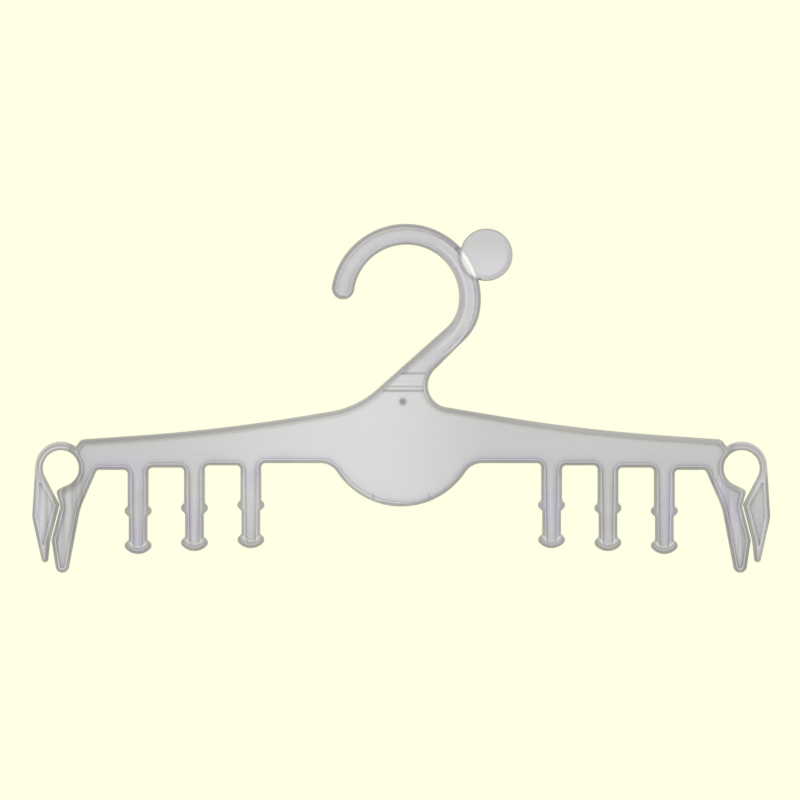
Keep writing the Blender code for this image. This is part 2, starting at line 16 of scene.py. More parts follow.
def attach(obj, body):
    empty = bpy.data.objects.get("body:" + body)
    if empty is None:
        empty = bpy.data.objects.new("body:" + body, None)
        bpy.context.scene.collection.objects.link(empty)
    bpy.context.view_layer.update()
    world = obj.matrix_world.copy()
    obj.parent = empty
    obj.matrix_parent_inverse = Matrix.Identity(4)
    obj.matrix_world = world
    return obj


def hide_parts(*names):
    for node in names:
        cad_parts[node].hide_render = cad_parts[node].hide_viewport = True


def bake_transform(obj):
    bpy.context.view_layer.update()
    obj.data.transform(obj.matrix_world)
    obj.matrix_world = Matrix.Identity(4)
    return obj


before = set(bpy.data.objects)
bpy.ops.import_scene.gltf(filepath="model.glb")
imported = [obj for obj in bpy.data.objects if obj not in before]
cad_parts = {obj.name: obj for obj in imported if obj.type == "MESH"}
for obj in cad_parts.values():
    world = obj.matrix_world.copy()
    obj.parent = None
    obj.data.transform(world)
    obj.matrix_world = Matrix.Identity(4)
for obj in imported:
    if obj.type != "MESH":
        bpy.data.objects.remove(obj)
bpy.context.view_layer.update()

# Hook and neck
# The open hook is the top end of one flat injection moulding in natural, milky
# polypropylene. It hangs over a rail, and its neck leans down to the two arms.

MM = 0.001

BORE_RADIUS = 19.35 * MM
BAND_AT_CROWN = 7.65 * MM
BAND_AT_SIDE = 8.0 * MM
OUTER_SHIFT = 0.2 * MM  # the hook's outer round is centred this far to the left
TIP_ANGLE = 8.3
BORE_BEND = 14.0 * MM
OUTER_BEND = 18.5 * MM
NECK_INNER_SLOPE = 41.6
NECK_OUTER_SLOPE = 44.8
NECK_INNER_CUT = 1.3 * MM
NECK_OUTER_CUT = 1.64 * MM
NECK_LEFT_FILLET = 34.0 * MM
NECK_RIGHT_FILLET = 8.1 * MM

OUTER_RADIUS = BORE_RADIUS + BAND_AT_SIDE + OUTER_SHIFT
BORE_CENTRE = Vector((0.0, -BORE_RADIUS))
HOOK_CENTRE = Vector((-OUTER_SHIFT, BAND_AT_CROWN - OUTER_RADIUS))

BODY = Vector((-1.9 * MM, -67.9 * MM))  # centre of the round panel
ARM_BEND = Vector((66.4 * MM, -0.05 * MM))  # from there, where the arm's top edge bends
ARM_INNER_SLOPE = 9.4
ARM_OUTER_SLOPE = 4.0


def direction(angle):
    """A unit vector at an angle from +X towards +Z."""
    return Vector((cos(radians(angle)), sin(radians(angle))))


def angle_of(vector):
    """A vector's angle, from +X towards +Z."""
    return degrees(atan2(vector.y, vector.x))


def inward(heading):
    """The side of the plastic on an outline that runs clockwise."""
    return Vector((heading.y, -heading.x))


def meet(point_a, angle_a, point_b, angle_b):
    """Where two lines cross, each given by a point and its angle."""
    along = direction(angle_a)
    across = inward(direction(angle_b))
    return point_a + along * ((point_b - point_a).dot(across) / along.dot(across))


def corner(point, radius):
    """A rounded corner between the stretches on either side of it."""
    return {"kind": "corner", "start": point, "end": point, "radius": radius}


def arc(centre, radius, start, end):
    """A round stretch. A falling angle is convex and a rising one is hollow."""
    return {"kind": "arc", "centre": centre, "radius": radius, "angles": (start, end),
            "start": centre + direction(start) * radius,
            "end": centre + direction(end) * radius}


def neck_bend(centre, radius, slope, cut, bend):
    """The arc that eases the hook's round into the straight neck.

    Gives a point on the straight edge, the arc's centre and where it leaves the round.
    """
    reach = radius - cut
    leave = slope - 90 + degrees(acos((reach - bend) / (radius - bend)))
    bend_centre = centre + direction(leave) * (radius - bend)
    return centre + direction(slope - 90) * reach, bend_centre, leave


def hook_tip():
    """The round end that touches both edges of the hook, and where it leaves the outer one."""
    towards = direction(180 - TIP_ANGLE)
    offset = BORE_CENTRE - HOOK_CENTRE
    lean = offset.dot(towards)
    radius = ((OUTER_RADIUS ** 2 - BORE_RADIUS ** 2 - offset.dot(offset) - 2 * BORE_RADIUS * lean)
              / (2 * (lean + BORE_RADIUS + OUTER_RADIUS)))
    centre = BORE_CENTRE + towards * (BORE_RADIUS + radius)
    return centre, radius, angle_of(centre - HOOK_CENTRE)


def hook_outline():
    """Left edge of the neck, bore, tip, outer round and right edge of the neck."""
    inner_edge, inner_bend, inner_leave = neck_bend(
        BORE_CENTRE, BORE_RADIUS, NECK_INNER_SLOPE, NECK_INNER_CUT, BORE_BEND)
    outer_edge, outer_bend, outer_leave = neck_bend(
        HOOK_CENTRE, OUTER_RADIUS, NECK_OUTER_SLOPE, NECK_OUTER_CUT, OUTER_BEND)
    left_root = meet(BODY + Vector((-ARM_BEND.x, ARM_BEND.y)), ARM_INNER_SLOPE,
                     inner_edge, NECK_INNER_SLOPE)
    right_root = meet(BODY + ARM_BEND, -ARM_INNER_SLOPE, outer_edge, NECK_OUTER_SLOPE)
    tip_centre, tip_radius, tip_leave = hook_tip()
    tip = 180 - TIP_ANGLE
    return [
        corner(left_root, NECK_LEFT_FILLET),
        arc(inner_bend, BORE_BEND, NECK_INNER_SLOPE - 90, inner_leave),
        arc(BORE_CENTRE, BORE_RADIUS, inner_leave, tip),
        arc(tip_centre, tip_radius, tip - 180, tip_leave - 360),
        arc(HOOK_CENTRE, OUTER_RADIUS, tip_leave, outer_leave),
        arc(outer_bend, OUTER_BEND, outer_leave, NECK_OUTER_SLOPE - 90),
        corner(right_root, NECK_RIGHT_FILLET),
    ]


# Round panel and arms
# The panel under the neck takes a label, and the gate that fed the mould is on it.
# The two arms run out from it, and their lower edge drops a little at each prong.

PANEL_RADIUS = 28.25 * MM
PANEL_FILLET = 7.35 * MM
ARM_BEND_RADIUS = 640.0 * MM
ARM_END_RADIUS = 2.6 * MM
ARM_FOOT_DROP = 12.35 * MM
ARM_FOOT_STEP = 0.82 * MM


def arm_foot(prongs_passed):
    """How high the arm's lower edge lies, from the panel's centre."""
    return -ARM_FOOT_DROP - ARM_FOOT_STEP * prongs_passed


def panel_outline():
    """The hollow fillet beside the panel, and the panel down to its lowest point."""
    drop = ARM_FOOT_DROP + PANEL_FILLET
    reach = PANEL_RADIUS + PANEL_FILLET
    leave = -degrees(asin(drop / reach))
    return [
        arc(Vector((sqrt(reach ** 2 - drop ** 2), -drop)), PANEL_FILLET, 90.0, 180.0 + leave),
        arc(Vector((0.0, 0.0)), PANEL_RADIUS, leave, -90.0),
    ]


# Strap prongs
# Three prongs hang under each arm and hold shoulder straps between them. Each has a
# pair of bumps halfway down and a wider rounded foot, so that a strap can't slip off.

PRONG_COUNT = 3
PRONG_FIRST_X = 55.2 * MM
PRONG_PITCH = 20.7 * MM
PRONG_LENGTH = 31.2 * MM
PRONG_STEP = 1.08 * MM
PRONG_UPPER_WIDTH = 7.7 * MM
PRONG_LOWER_WIDTH = 6.9 * MM
PRONG_ROOT_FILLET = 1.5 * MM
BUMP_HEIGHT = 15.75 * MM
BUMP_HALF_LENGTH = 2.0 * MM
BUMP_WIDTH = 11.4 * MM
BUMP_RADIUS = 1.7 * MM
BUMP_FILLET = 0.6 * MM
FOOT_WIDTH = 11.6 * MM
FOOT_SLOPE = 45.0
FOOT_FLANK = 1.45 * MM
FOOT_LIP_RADIUS = 1.8 * MM
FOOT_FLARE_HEIGHT = 5.2 * MM
FOOT_FILLET = 1.0 * MM
PRONG_RECESS_CORNER = 2.5 * MM  # the recess runs straight past the bumps to a round end
PRONG_RECESS_SLOPE = 20.0
PRONG_RECESS_BOTTOM = 4.4 * MM


def prong_outline(index, recess):
    """One prong, from its outer root round its foot to its inner root."""
    x = PRONG_FIRST_X + PRONG_PITCH * index
    tip = -ARM_FOOT_DROP - PRONG_LENGTH - PRONG_STEP * index
    upper, lower, lip = PRONG_UPPER_WIDTH / 2, PRONG_LOWER_WIDTH / 2, FOOT_WIDTH / 2
    if recess:
        shoulder = lower * tan(radians(PRONG_RECESS_SLOPE))
        side_points = [(lower, shoulder, PRONG_RECESS_CORNER)]
        bottom = corner(Vector((x, tip)), PRONG_RECESS_BOTTOM)
    else:
        foot_radius = (lip - FOOT_FLANK) / sin(radians(FOOT_SLOPE))
        foot_corner = foot_radius - foot_radius / cos(radians(FOOT_SLOPE))
        side_points = [
            (upper, BUMP_HEIGHT + BUMP_HALF_LENGTH, BUMP_FILLET),
            (BUMP_WIDTH / 2, BUMP_HEIGHT, BUMP_RADIUS),
            (lower, BUMP_HEIGHT - BUMP_HALF_LENGTH, BUMP_FILLET),
            (lower, FOOT_FLARE_HEIGHT, FOOT_FILLET),
            (lip, foot_corner + lip * tan(radians(FOOT_SLOPE)), FOOT_LIP_RADIUS),
        ]
        bottom = corner(Vector((x, tip + foot_corner)), foot_radius)
    outer, inner = (
        [corner(Vector((x + out * upper, root)), PRONG_ROOT_FILLET)]
        + [corner(Vector((x + out * side, tip + height)), radius)
           for side, height, radius in side_points]
        for out, root in ((1, arm_foot(index + 1)), (-1, arm_foot(index))))
    return outer + [bottom] + inner[::-1]


# Fixed jaw and eye
# Each arm ends in a round eye and a fixed jaw, moulded with it. The jaw has a lip, a
# hollow and a tooth that the swinging jaw closes on.

def mm(*lengths, past=0.0):
    """Several lengths in millimetres, measured on from another one."""
    return tuple(past + length * MM for length in lengths)


EYE_PAST_PRONG = 28.4 * MM
EYE_OVER_FOOT = 0.64 * MM
EYE = Vector((PRONG_FIRST_X + PRONG_PITCH * (PRONG_COUNT - 1) + EYE_PAST_PRONG,
              arm_foot(PRONG_COUNT) + EYE_OVER_FOOT))
EYE_RADIUS = 6.6 * MM
BOW_RADIUS = 9.35 * MM
BOW_RISE = 0.4 * MM
BOW_ROOT = 125.0  # direction from the eye to the notch at the arm's end
BOW_JOIN = 118.0  # where the clip's own mesh takes over from the frame's
NOTCH_FILLET = 0.35 * MM
EYE_RECESS_START = 146.0
EYE_RECESS_CORNER = 2.6 * MM
SHELF_SLOPE = 25.4
LIP_FACE = mm(-1.4, -9.4)
LIP_RADIUS = 1.4 * MM
VALLEY = mm(-0.15, -14.0)
VALLEY_RADIUS = 1.2 * MM
TOOTH = mm(-3.38, -26.4)
TOOTH_RADIUS = 0.5 * MM
FIXED_TIP = mm(0.6, -35.9)
FIXED_TIP_RADIUS = 2.5 * MM
FIXED_BACK = mm(7.2, -14.6)
FIXED_BACK_RADIUS = 25.0 * MM
FIXED_ROOT_REACH = 13.3 * MM
FIXED_ROOT_FILLET = 1.2 * MM
JAW_RECESS_CORNER = 2.3 * MM

BOW_CENTRE = EYE + Vector((0.0, BOW_RISE))


def clip(place):
    """A place near the clip: U from the eye's centre to the middle, and V up."""
    return EYE + Vector((-place[0], place[1]))


def touch(point, centre, radius, side):
    """Angle on a circle where a line from the point touches it, anticlockwise for side +1."""
    away = point - centre
    return angle_of(away) + side * degrees(acos(radius / away.length))


def joint_corner():
    """Outer corner of the band where the frame's mesh ends and the clip's begins.

    It slides along the joint as the outline is inset, so both meshes stay flush.
    """
    outward = direction(BOW_JOIN)
    return {"kind": "slide", "start": BOW_CENTRE + outward * BOW_RADIUS,
            "end": BOW_CENTRE + outward * BOW_RADIUS, "along": -outward}


def notch():
    """Where the bow's outside meets the end of the arm."""
    ray = direction(BOW_ROOT)
    rise = EYE - BOW_CENTRE
    lean = rise.dot(ray)
    return EYE + ray * (-lean + sqrt(lean ** 2 - rise.dot(rise) + BOW_RADIUS ** 2))


def fixed_jaw_outline(recess):
    """Arm end, eye, lip, grip, tip and back of the fixed jaw."""
    arm_end = meet(ARM_BEND, -ARM_OUTER_SLOPE, EYE, BOW_ROOT)
    shelf_angle = 270.0 - SHELF_SLOPE
    valley, tooth = clip(VALLEY), clip(TOOTH)
    lip_face = clip(LIP_FACE)
    lip = meet(EYE + direction(shelf_angle) * EYE_RADIUS, -SHELF_SLOPE,
               lip_face, angle_of(valley - lip_face))
    tip, back = clip(FIXED_TIP), clip(FIXED_BACK)
    root = Vector((EYE.x - FIXED_ROOT_REACH, arm_foot(PRONG_COUNT)))
    if recess:
        eye_touch = EYE + direction(EYE_RECESS_START) * EYE_RADIUS
        inner_root = meet(EYE, BOW_ROOT, eye_touch, EYE_RECESS_START + 90)
        first = [corner(inner_root, EYE_RECESS_CORNER),
                 arc(EYE, EYE_RADIUS, EYE_RECESS_START, shelf_angle)]
        lip_radius = tooth_radius = JAW_RECESS_CORNER
    else:
        first = [corner(notch(), NOTCH_FILLET), joint_corner(),
                 arc(EYE, EYE_RADIUS, BOW_JOIN, shelf_angle)]
        lip_radius, tooth_radius = LIP_RADIUS, TOOTH_RADIUS
    return [corner(arm_end, ARM_END_RADIUS)] + first + [
        corner(lip, lip_radius),
        corner(valley, VALLEY_RADIUS),
        corner(tooth, tooth_radius),
        arc(tip, FIXED_TIP_RADIUS, touch(tooth, tip, FIXED_TIP_RADIUS, -1),
            touch(back, tip, FIXED_TIP_RADIUS, 1) - 360),
        corner(back, FIXED_BACK_RADIUS),
        corner(root, FIXED_ROOT_FILLET),
    ]


# The moulding
# Hook, arms, panel, prongs and fixed jaws are one shot of plastic: a thin web with a
# raised, rounded rim on both faces and a faint flash line where the mould halves met.

FRAME_DEPTH = 4.0 * MM
WEB_THICKNESS = 1.6 * MM
RIM_WIDTH = 1.7 * MM
WALL_DRAFT = 0.06 * MM
EDGE_ROUND = 0.35 * MM
FLASH_WIDTH = 0.1 * MM
FLASH_STEP = 0.03 * MM
RIM_LINE = 1.1 * MM  # inset where the rim's edge tone ends
INNER_ROUND = 0.2 * MM
INNER_DRAFT = 0.1 * MM
INNER_FILLET = 0.4 * MM
CHORD_ERROR = 0.003 * MM
LEAST_RADIUS = 0.05 * MM
WELD = 0.001 * MM
ROUND_STEPS = 5
ROUND_START = 0.6  # section value where the outer edge starts to round
RIM_END = 1.2  # section value at the flat rim's inner edge
DRAWN = "drawn"  # a point's section value, and which way the outline faces there
MOULDED = "moulded"  # the same, on the corners of the finished faces


def mirrored(outline):
    """The same stretches on the left half of the hanger."""
    result = []
    for stretch in reversed(outline):
        flipped = {key: Vector((-value.x, value.y)) if isinstance(value, Vector) else value
                   for key, value in stretch.items()}
        if stretch["kind"] == "arc":
            start, end = stretch["angles"]
            flipped = arc(flipped["centre"], stretch["radius"], 180 - end, 180 - start)
        result.append(flipped)
    return result


def placed(outline):
    """Stretches measured from the panel's centre, put at their place on the hanger."""
    return [{key: value + BODY if key in ("start", "end", "centre") else value
             for key, value in stretch.items()} for stretch in outline]


def moulding_outline(recess):
    """Round the whole moulding, or round the recess between its rims."""
    half = [corner(ARM_BEND, ARM_BEND_RADIUS)] + fixed_jaw_outline(recess)
    for index in reversed(range(PRONG_COUNT)):
        half += prong_outline(index, recess)
    half += panel_outline()
    return hook_outline() + placed(half) + placed(mirrored(half))


def swing_steps(radius, turn):
    """How many chords keep a round stretch within the chord error."""
    return ceil(abs(turn) / (2 * degrees(acos(1 - CHORD_ERROR / radius))))


def pen_strokes(outline, inset):
    """For each stretch: where the pen starts, what it swings about, how far and in what steps."""
    strokes = []
    for i, stretch in enumerate(outline):
        if stretch["kind"] == "slide":
            strokes.append((stretch["start"] + stretch["along"] * inset, None, 0.0, 0))
        elif stretch["kind"] == "arc":
            begin, end = stretch["angles"]
            radius = stretch["radius"] + (inset if end > begin else -inset)
            strokes.append((stretch["centre"] + direction(begin) * radius, stretch["centre"],
                            end - begin, swing_steps(stretch["radius"], end - begin)))
        else:
            way_in = (stretch["start"] - outline[i - 1]["end"]).normalized()
            way_out = (outline[(i + 1) % len(outline)]["start"] - stretch["start"]).normalized()
            turn = degrees(atan2(way_in.cross(way_out), way_in.dot(way_out)))
            mitre = (inward(way_in) + inward(way_out)) / (1 + way_in.dot(way_out))
            convex = turn < 0
            radius = (max(stretch["radius"] - inset, LEAST_RADIUS) if convex
                      else stretch["radius"] + inset)
            start = (stretch["start"] + mitre * inset
                     - way_in * radius * tan(radians(abs(turn)) / 2))
            centre = start + inward(way_in) * (radius if convex else -radius)
            strokes.append((start, centre, turn, swing_steps(stretch["radius"], turn)))
    return strokes


def add_ring(bm, outline, inset, y, section):
    """Draws the outline as one closed ring of edges, inset and at its depth.

    Each point keeps its section value and the direction that the outline faces there.
    """
    ring = bmesh.new()
    pen = first = None
    for start, centre, turn, count in pen_strokes(outline, inset):
        place = Vector((start.x, y, start.y))
        if pen is None:
            pen = first = bmesh.ops.create_vert(ring, co=place)["vert"][0]
        elif (pen.co - place).length > WELD:
            pen = bmesh.ops.extrude_vert_indiv(ring, verts=[pen])["verts"][0]
            pen.co = place
        if count:
            swung = bmesh.ops.spin(ring, geom=[pen], cent=(centre.x, y, centre.y),
                                   axis=(0, -1, 0), angle=radians(turn), steps=count,
                                   use_merge=abs(turn) == 360)
            pen = swung["geom_last"][0]
    bmesh.ops.contextual_create(ring, geom=[pen, first])
    mark = ring.verts.layers.float_vector.new(DRAWN)
    drawn = list(ring.verts)
    for before, vert, after in zip(drawn[-1:] + drawn, drawn, drawn[1:] + drawn[:1]):
        heading = (after.co - before.co).normalized()
        vert[mark] = (section, -heading.z, heading.x)
    mesh = bpy.data.meshes.new("ring")
    ring.to_mesh(mesh)
    ring.free()
    already = set(bm.edges)
    bm.from_mesh(mesh)
    bpy.data.meshes.remove(mesh)
    return [edge for edge in bm.edges if edge not in already]


def outer_stations():
    """Inset, depth and section value from the front rim round the edge to the flash line.

    The section value is 0 at the flash line, 1 to 1.2 over the flat rim, 2 on its inner
    wall and 3 on the web.
    """
    half = FRAME_DEPTH / 2
    stations = [(RIM_LINE, -half, 1.0)]
    for step in range(ROUND_STEPS + 1):
        angle = radians(90 - 90 * step / ROUND_STEPS)
        stations.append((WALL_DRAFT + EDGE_ROUND * (1 - cos(angle)),
                         -half + EDGE_ROUND * (1 - sin(angle)),
                         ROUND_START * (1 - step / ROUND_STEPS)))
    return stations + [(FLASH_STEP, -FLASH_WIDTH, 0.0), (0.0, 0.0, 0.0)]


def recess_stations(rim_width):
    """Inset, depth and section value from the rim's inner edge down to the web."""
    half, web = FRAME_DEPTH / 2, WEB_THICKNESS / 2
    edge, foot = rim_width - INNER_ROUND, rim_width + INNER_DRAFT
    turns = [radians(90 * step / ROUND_STEPS) for step in range(ROUND_STEPS + 1)]
    top = [(edge + INNER_ROUND * sin(turn), -half + INNER_ROUND * (1 - cos(turn)),
            RIM_END + (2.0 - RIM_END) * turn / radians(90)) for turn in turns]
    bottom = [(foot + INNER_FILLET * (1 - cos(turn)), -web - INNER_FILLET * (1 - sin(turn)),
               2.0 + turn / radians(90)) for turn in turns]
    return top + bottom


def fill(bm, edges, side):
    """Faces over the area between rings, facing the front for side -1.

    The fill takes points closer than 0.03 of a unit for one, so it works in millimetres.
    """
    bmesh.ops.scale(bm, vec=(1 / MM, 1 / MM, 1 / MM), verts=bm.verts[:])
    bmesh.ops.triangle_fill(bm, edges=edges, use_beauty=True, normal=(0, side, 0))
    bmesh.ops.scale(bm, vec=(MM, MM, MM), verts=bm.verts[:])


def rimmed_shell(outer, recess, rim_width):
    """A closed web with a raised rim: the outer edge, and a recess in both faces.

    Gives the mesh and the edges around its front and back webs, which are still open.
    """
    bm = bmesh.new()
    front = outer_stations()
    around = front + [(inset, -y, section) for inset, y, section in reversed(front[:-1])]
    edge_rings = [add_ring(bm, outer, *station) for station in around]
    recess_rings = [[add_ring(bm, recess, inset, -side * y, section)
                     for inset, y, section in recess_stations(rim_width)] for side in (-1, 1)]
    for rings in [edge_rings] + recess_rings:
        for near, far in zip(rings, rings[1:]):
            bmesh.ops.bridge_loops(bm, edges=near + far)
    fill(bm, edge_rings[0] + recess_rings[0][0], -1)
    fill(bm, edge_rings[-1] + recess_rings[1][0], 1)
    return bm, [rings[-1] for rings in recess_rings]


def new_object(name, data):
    """Puts a mesh, lamp or camera in the scene."""
    obj = bpy.data.objects.new(name, data)
    bpy.context.scene.collection.objects.link(obj)
    return obj


def add_object(name, bm):
    """An object of the mesh, with its rim places kept on the face corners."""
    bmesh.ops.recalc_face_normals(bm, faces=bm.faces[:])
    mark = bm.verts.layers.float_vector[DRAWN]
    kept = bm.loops.layers.float_vector.new(MOULDED)
    for face in bm.faces:
        for loop in face.loops:
            loop[kept] = loop.vert[mark]
    bm.verts.layers.float_vector.remove(mark)
    mesh = bpy.data.meshes.new(name)
    bm.to_mesh(mesh)
    bm.free()
    return new_object(name, mesh)


def shade(red, green, blue):
    """A colour from the levels, 0 to 255, that a screen shows it with."""
    return tuple(((level / 255 + 0.055) / 1.055) ** 2.4 for level in (red, green, blue)) + (1.0,)


def add_node(kind, inputs=None, tree=None, **settings):
    """A shader node with its settings, and with values or links on its inputs.

    It is made in the given tree, or else in that of the sockets on its inputs.
    """
    links = {key: value for key, value in (inputs or {}).items()
             if isinstance(value, bpy.types.NodeSocket)}
    tree = tree or next(iter(links.values())).id_data
    node = tree.nodes.new("ShaderNode" + kind)
    for key, value in settings.items():
        setattr(node, key, value)
    for key, value in (inputs or {}).items():
        if key in links:
            tree.links.new(value, node.inputs[key])
        else:
            node.inputs[key].default_value = value
    return node


def maths(operation, *values):
    """The result of one operation on numbers or sockets."""
    return add_node("Math", dict(enumerate(values)), operation=operation).outputs[0]


def times(first, *others):
    """The product of all the values."""
    for other in others:
        first = maths("MULTIPLY", first, other)
    return first


def without(value):
    """What is left of 1."""
    return maths("SUBTRACT", 1.0, value)


def fade(value, low, high, at_low=0.0, at_high=1.0):
    """Runs smoothly from one number to another as the value goes from low to high."""
    return add_node("MapRange", {
        "Value": value, "From Min": low, "From Max": high, "To Min": at_low,
        "To Max": at_high}, interpolation_type="SMOOTHSTEP").outputs["Result"]


def blended(factor, first, second, how="MIX"):
    """From the first colour to the second by the factor, or the two multiplied."""
    return add_node("Mix", {0: factor, 6: first, 7: second}, data_type="RGBA",
                    blend_type=how).outputs[2]


def painted(colour, levels, *covers):
    """The colour under a coat of other levels, as strong as the covers' product."""
    return blended(times(*covers), colour, shade(*levels))


def axes(vector, letters="XYZ"):
    """A place's X, Y and Z, or at a rim the section value and the outline's direction."""
    parts = add_node("SeparateXYZ", {0: vector}).outputs
    return [parts[letter] for letter in letters]


def from_middle(place):
    """How far a place is to the left or right of the panel's centre."""
    return maths("ABSOLUTE", maths("SUBTRACT", axes(place)[0], BODY.x))


def distance(place, point):
    """How far a place in the X-Z plane is from a point there."""
    flat = add_node("VectorMath", {0: place, 1: (1.0, 0.0, 1.0)},
                    operation="MULTIPLY").outputs["Vector"]
    return add_node("VectorMath", {0: flat, 1: (point.x, 0.0, point.y)},
                    operation="DISTANCE").outputs["Value"]


def noise(place, scale, detail, stretch=(1.0, 1.0, 1.0)):
    """Soft random patches, from 0 to 1."""
    spread = add_node("Mapping", {"Vector": place, "Scale": stretch})
    return add_node("TexNoise", {
        "Vector": spread.outputs["Vector"], "Scale": scale, "Detail": detail}).outputs["Fac"]


def new_group(name, inputs, outputs):
    """A node group's tree, the sockets that bring values in, and those that give them out."""
    tree = bpy.data.node_groups.new(name, "ShaderNodeTree")
    for way, sockets in (("INPUT", inputs), ("OUTPUT", outputs)):
        for label, kind in sockets.items():
            tree.interface.new_socket(label, in_out=way, socket_type="NodeSocket" + kind)
    return tree, tree.nodes.new("NodeGroupInput").outputs, tree.nodes.new("NodeGroupOutput").inputs


WEB_BRIGHT = shade(214, 214, 220)
WEB_FAR = shade(194, 194, 199)
WEB_HOOK = shade(203, 202, 208)
BRIGHTEST = BODY + Vector((-14.0 * MM, 0.0))
DIM_REACH = 105 * MM  # the web is at its dimmest this far from its brightest place
DIM_RIGHT = (BRIGHTEST.x, 40 * MM, 0.0, 0.92)  # it also dims towards the right
HOOK_GREY = mm(-52, -36)  # heights between which the hook's grey sets in,
CLOUDY_NECK = mm(-54, -40)  # the clouds upwards,
CLOUDY_FEET = mm(-72, -86)  # and the clouds downwards
# For the clouds and the violet cast: scale, detail and stretch of the noise, its value
# where they start, how strong they get, and their levels.
PATCHES = ((95.0, 3.0, (1.0, 1.0, 1.0), 0.38, 0.20, (172, 171, 178)),
           (75.0, 1.0, (1.0, 1.0, 0.6), 0.48, 0.55, (196, 190, 214)))
PATCH_FULL = 0.66


def milky_web_group():
    """The web's grey: brightest left of the gate, clouded, with a violet cast in places."""
    tree, given, result = new_group("milky_web", {"Place": "Vector"}, {"Color": "Color"})
    place = given["Place"]
    x, height = axes(place, "XZ")
    away = maths("MAXIMUM", fade(distance(place, BRIGHTEST), 0.0, DIM_REACH), fade(x, *DIM_RIGHT))
    colour = blended(away, WEB_BRIGHT, WEB_FAR)
    colour = blended(fade(height, *HOOK_GREY), colour, WEB_HOOK)
    beside_panel = fade(distance(place, BODY), PANEL_RADIUS, PANEL_RADIUS + 6 * MM)
    uneven = maths("MAXIMUM", fade(height, *CLOUDY_NECK),
                   times(fade(height, *CLOUDY_FEET), beside_panel))
    for scale, detail, stretch, start, strength, levels in PATCHES:
        patches = fade(noise(place, scale, detail, stretch), start, PATCH_FULL, 0.0, strength)
        colour = painted(colour, levels, patches, uneven)
    tree.links.new(colour, result["Color"])
    return tree


# Painted light and shade over the web's own tone, as pairs of section value and tone, for each
# kind of rim; each darkens the outer edge as painted shade. Line has a dark inner line of painted
# shade and Pale a lighter one. Soft is by the bore and Crown outside it on the hook's left half,
# Crown painted lighter over its recess wall. Top is painted shade on rims that face up, and Even
# is painted evenly darker to its edge.
PAINTED_RIM_TONES = {
    "Line": ((0.0, 0.80), (0.3, 0.76), (0.6, 0.68), (0.78, 0.56), (0.92, 0.53), (1.0, 0.68),
             (1.03, 0.84), (1.2, 0.94), (1.5, 0.84), (2.0, 0.66), (2.4, 0.68), (2.75, 0.98),
             (3.0, 1.0)),
    "Pale": ((0.0, 0.84), (0.3, 0.80), (0.6, 0.72), (0.78, 0.66), (0.92, 0.70), (1.0, 0.86),
             (1.05, 0.92), (3.0, 0.92)),
    "Soft": ((0.0, 0.74), (0.3, 0.68), (0.6, 0.62), (0.8, 0.68), (1.0, 0.80), (1.05, 0.88),
             (1.2, 0.94), (1.6, 0.98), (3.0, 1.0)),
    "Crown": ((0.0, 0.84), (0.4, 0.78), (0.6, 0.68), (0.84, 0.57), (1.0, 0.56), (1.05, 0.66),
              (1.2, 0.90), (1.6, 1.08), (2.0, 1.16), (2.4, 1.15), (2.8, 1.04), (3.0, 1.0)),
    "Top": ((0.0, 0.80), (0.5, 0.76), (0.8, 0.65), (0.95, 0.58), (1.1, 0.58), (1.2, 0.65),
            (1.5, 0.78), (2.0, 0.94), (2.4, 1.06), (2.8, 1.06), (3.0, 1.0)),
    "Even": ((0.0, 0.68), (0.6, 0.60), (0.9, 0.60), (1.0, 0.64), (1.2, 0.76), (2.0, 0.92),
             (2.5, 1.0), (3.0, 1.0)),
}
# Painted light: where no inner line is drawn, the rim's inner edge and recess wall are lifted
# against the wall's shade.
UNLINED_TONE = (1.1, 1.1, 1.1, 1.0)
OLIVE_TINT = tuple(1.35 * part for part in shade(216, 213, 200))
# Looks set in from one number of a pair to the other: of the section value, or of how far
# the outline faces right or up. Two more are the strengths there, if not 0 and 1.
WEAK_RIGHT = (-0.2, 0.6, 0.0, 0.3)
WEAK_BELOW = (-0.4, -0.95, 0.0, 0.1)
PAST_LINE = (1.05, 1.3)
OFF_WEB = (3.0, 2.6)
PALE_EDGE = (1.2, 1.03)
WARM_EDGE = (1.1, 0.3)
RIM_GLOSS = (2.2, 2.9, 0.24, 0.42)  # roughness on the rim's wall and on the web


def tone_curve(section, tones):
    """A smooth run through the tones by the section value."""
    curve = add_node("ValToRGB", {"Fac": maths("DIVIDE", section, 3.0)})
    ramp = curve.color_ramp
    ramp.interpolation = "EASE"
    while len(ramp.elements) < len(tones):
        ramp.elements.new(0.5)
    for element, (value, tone) in zip(ramp.elements, tones):
        element.position = value / 3
        element.color = (tone, tone, tone, 1.0)
    return curve.outputs["Color"]


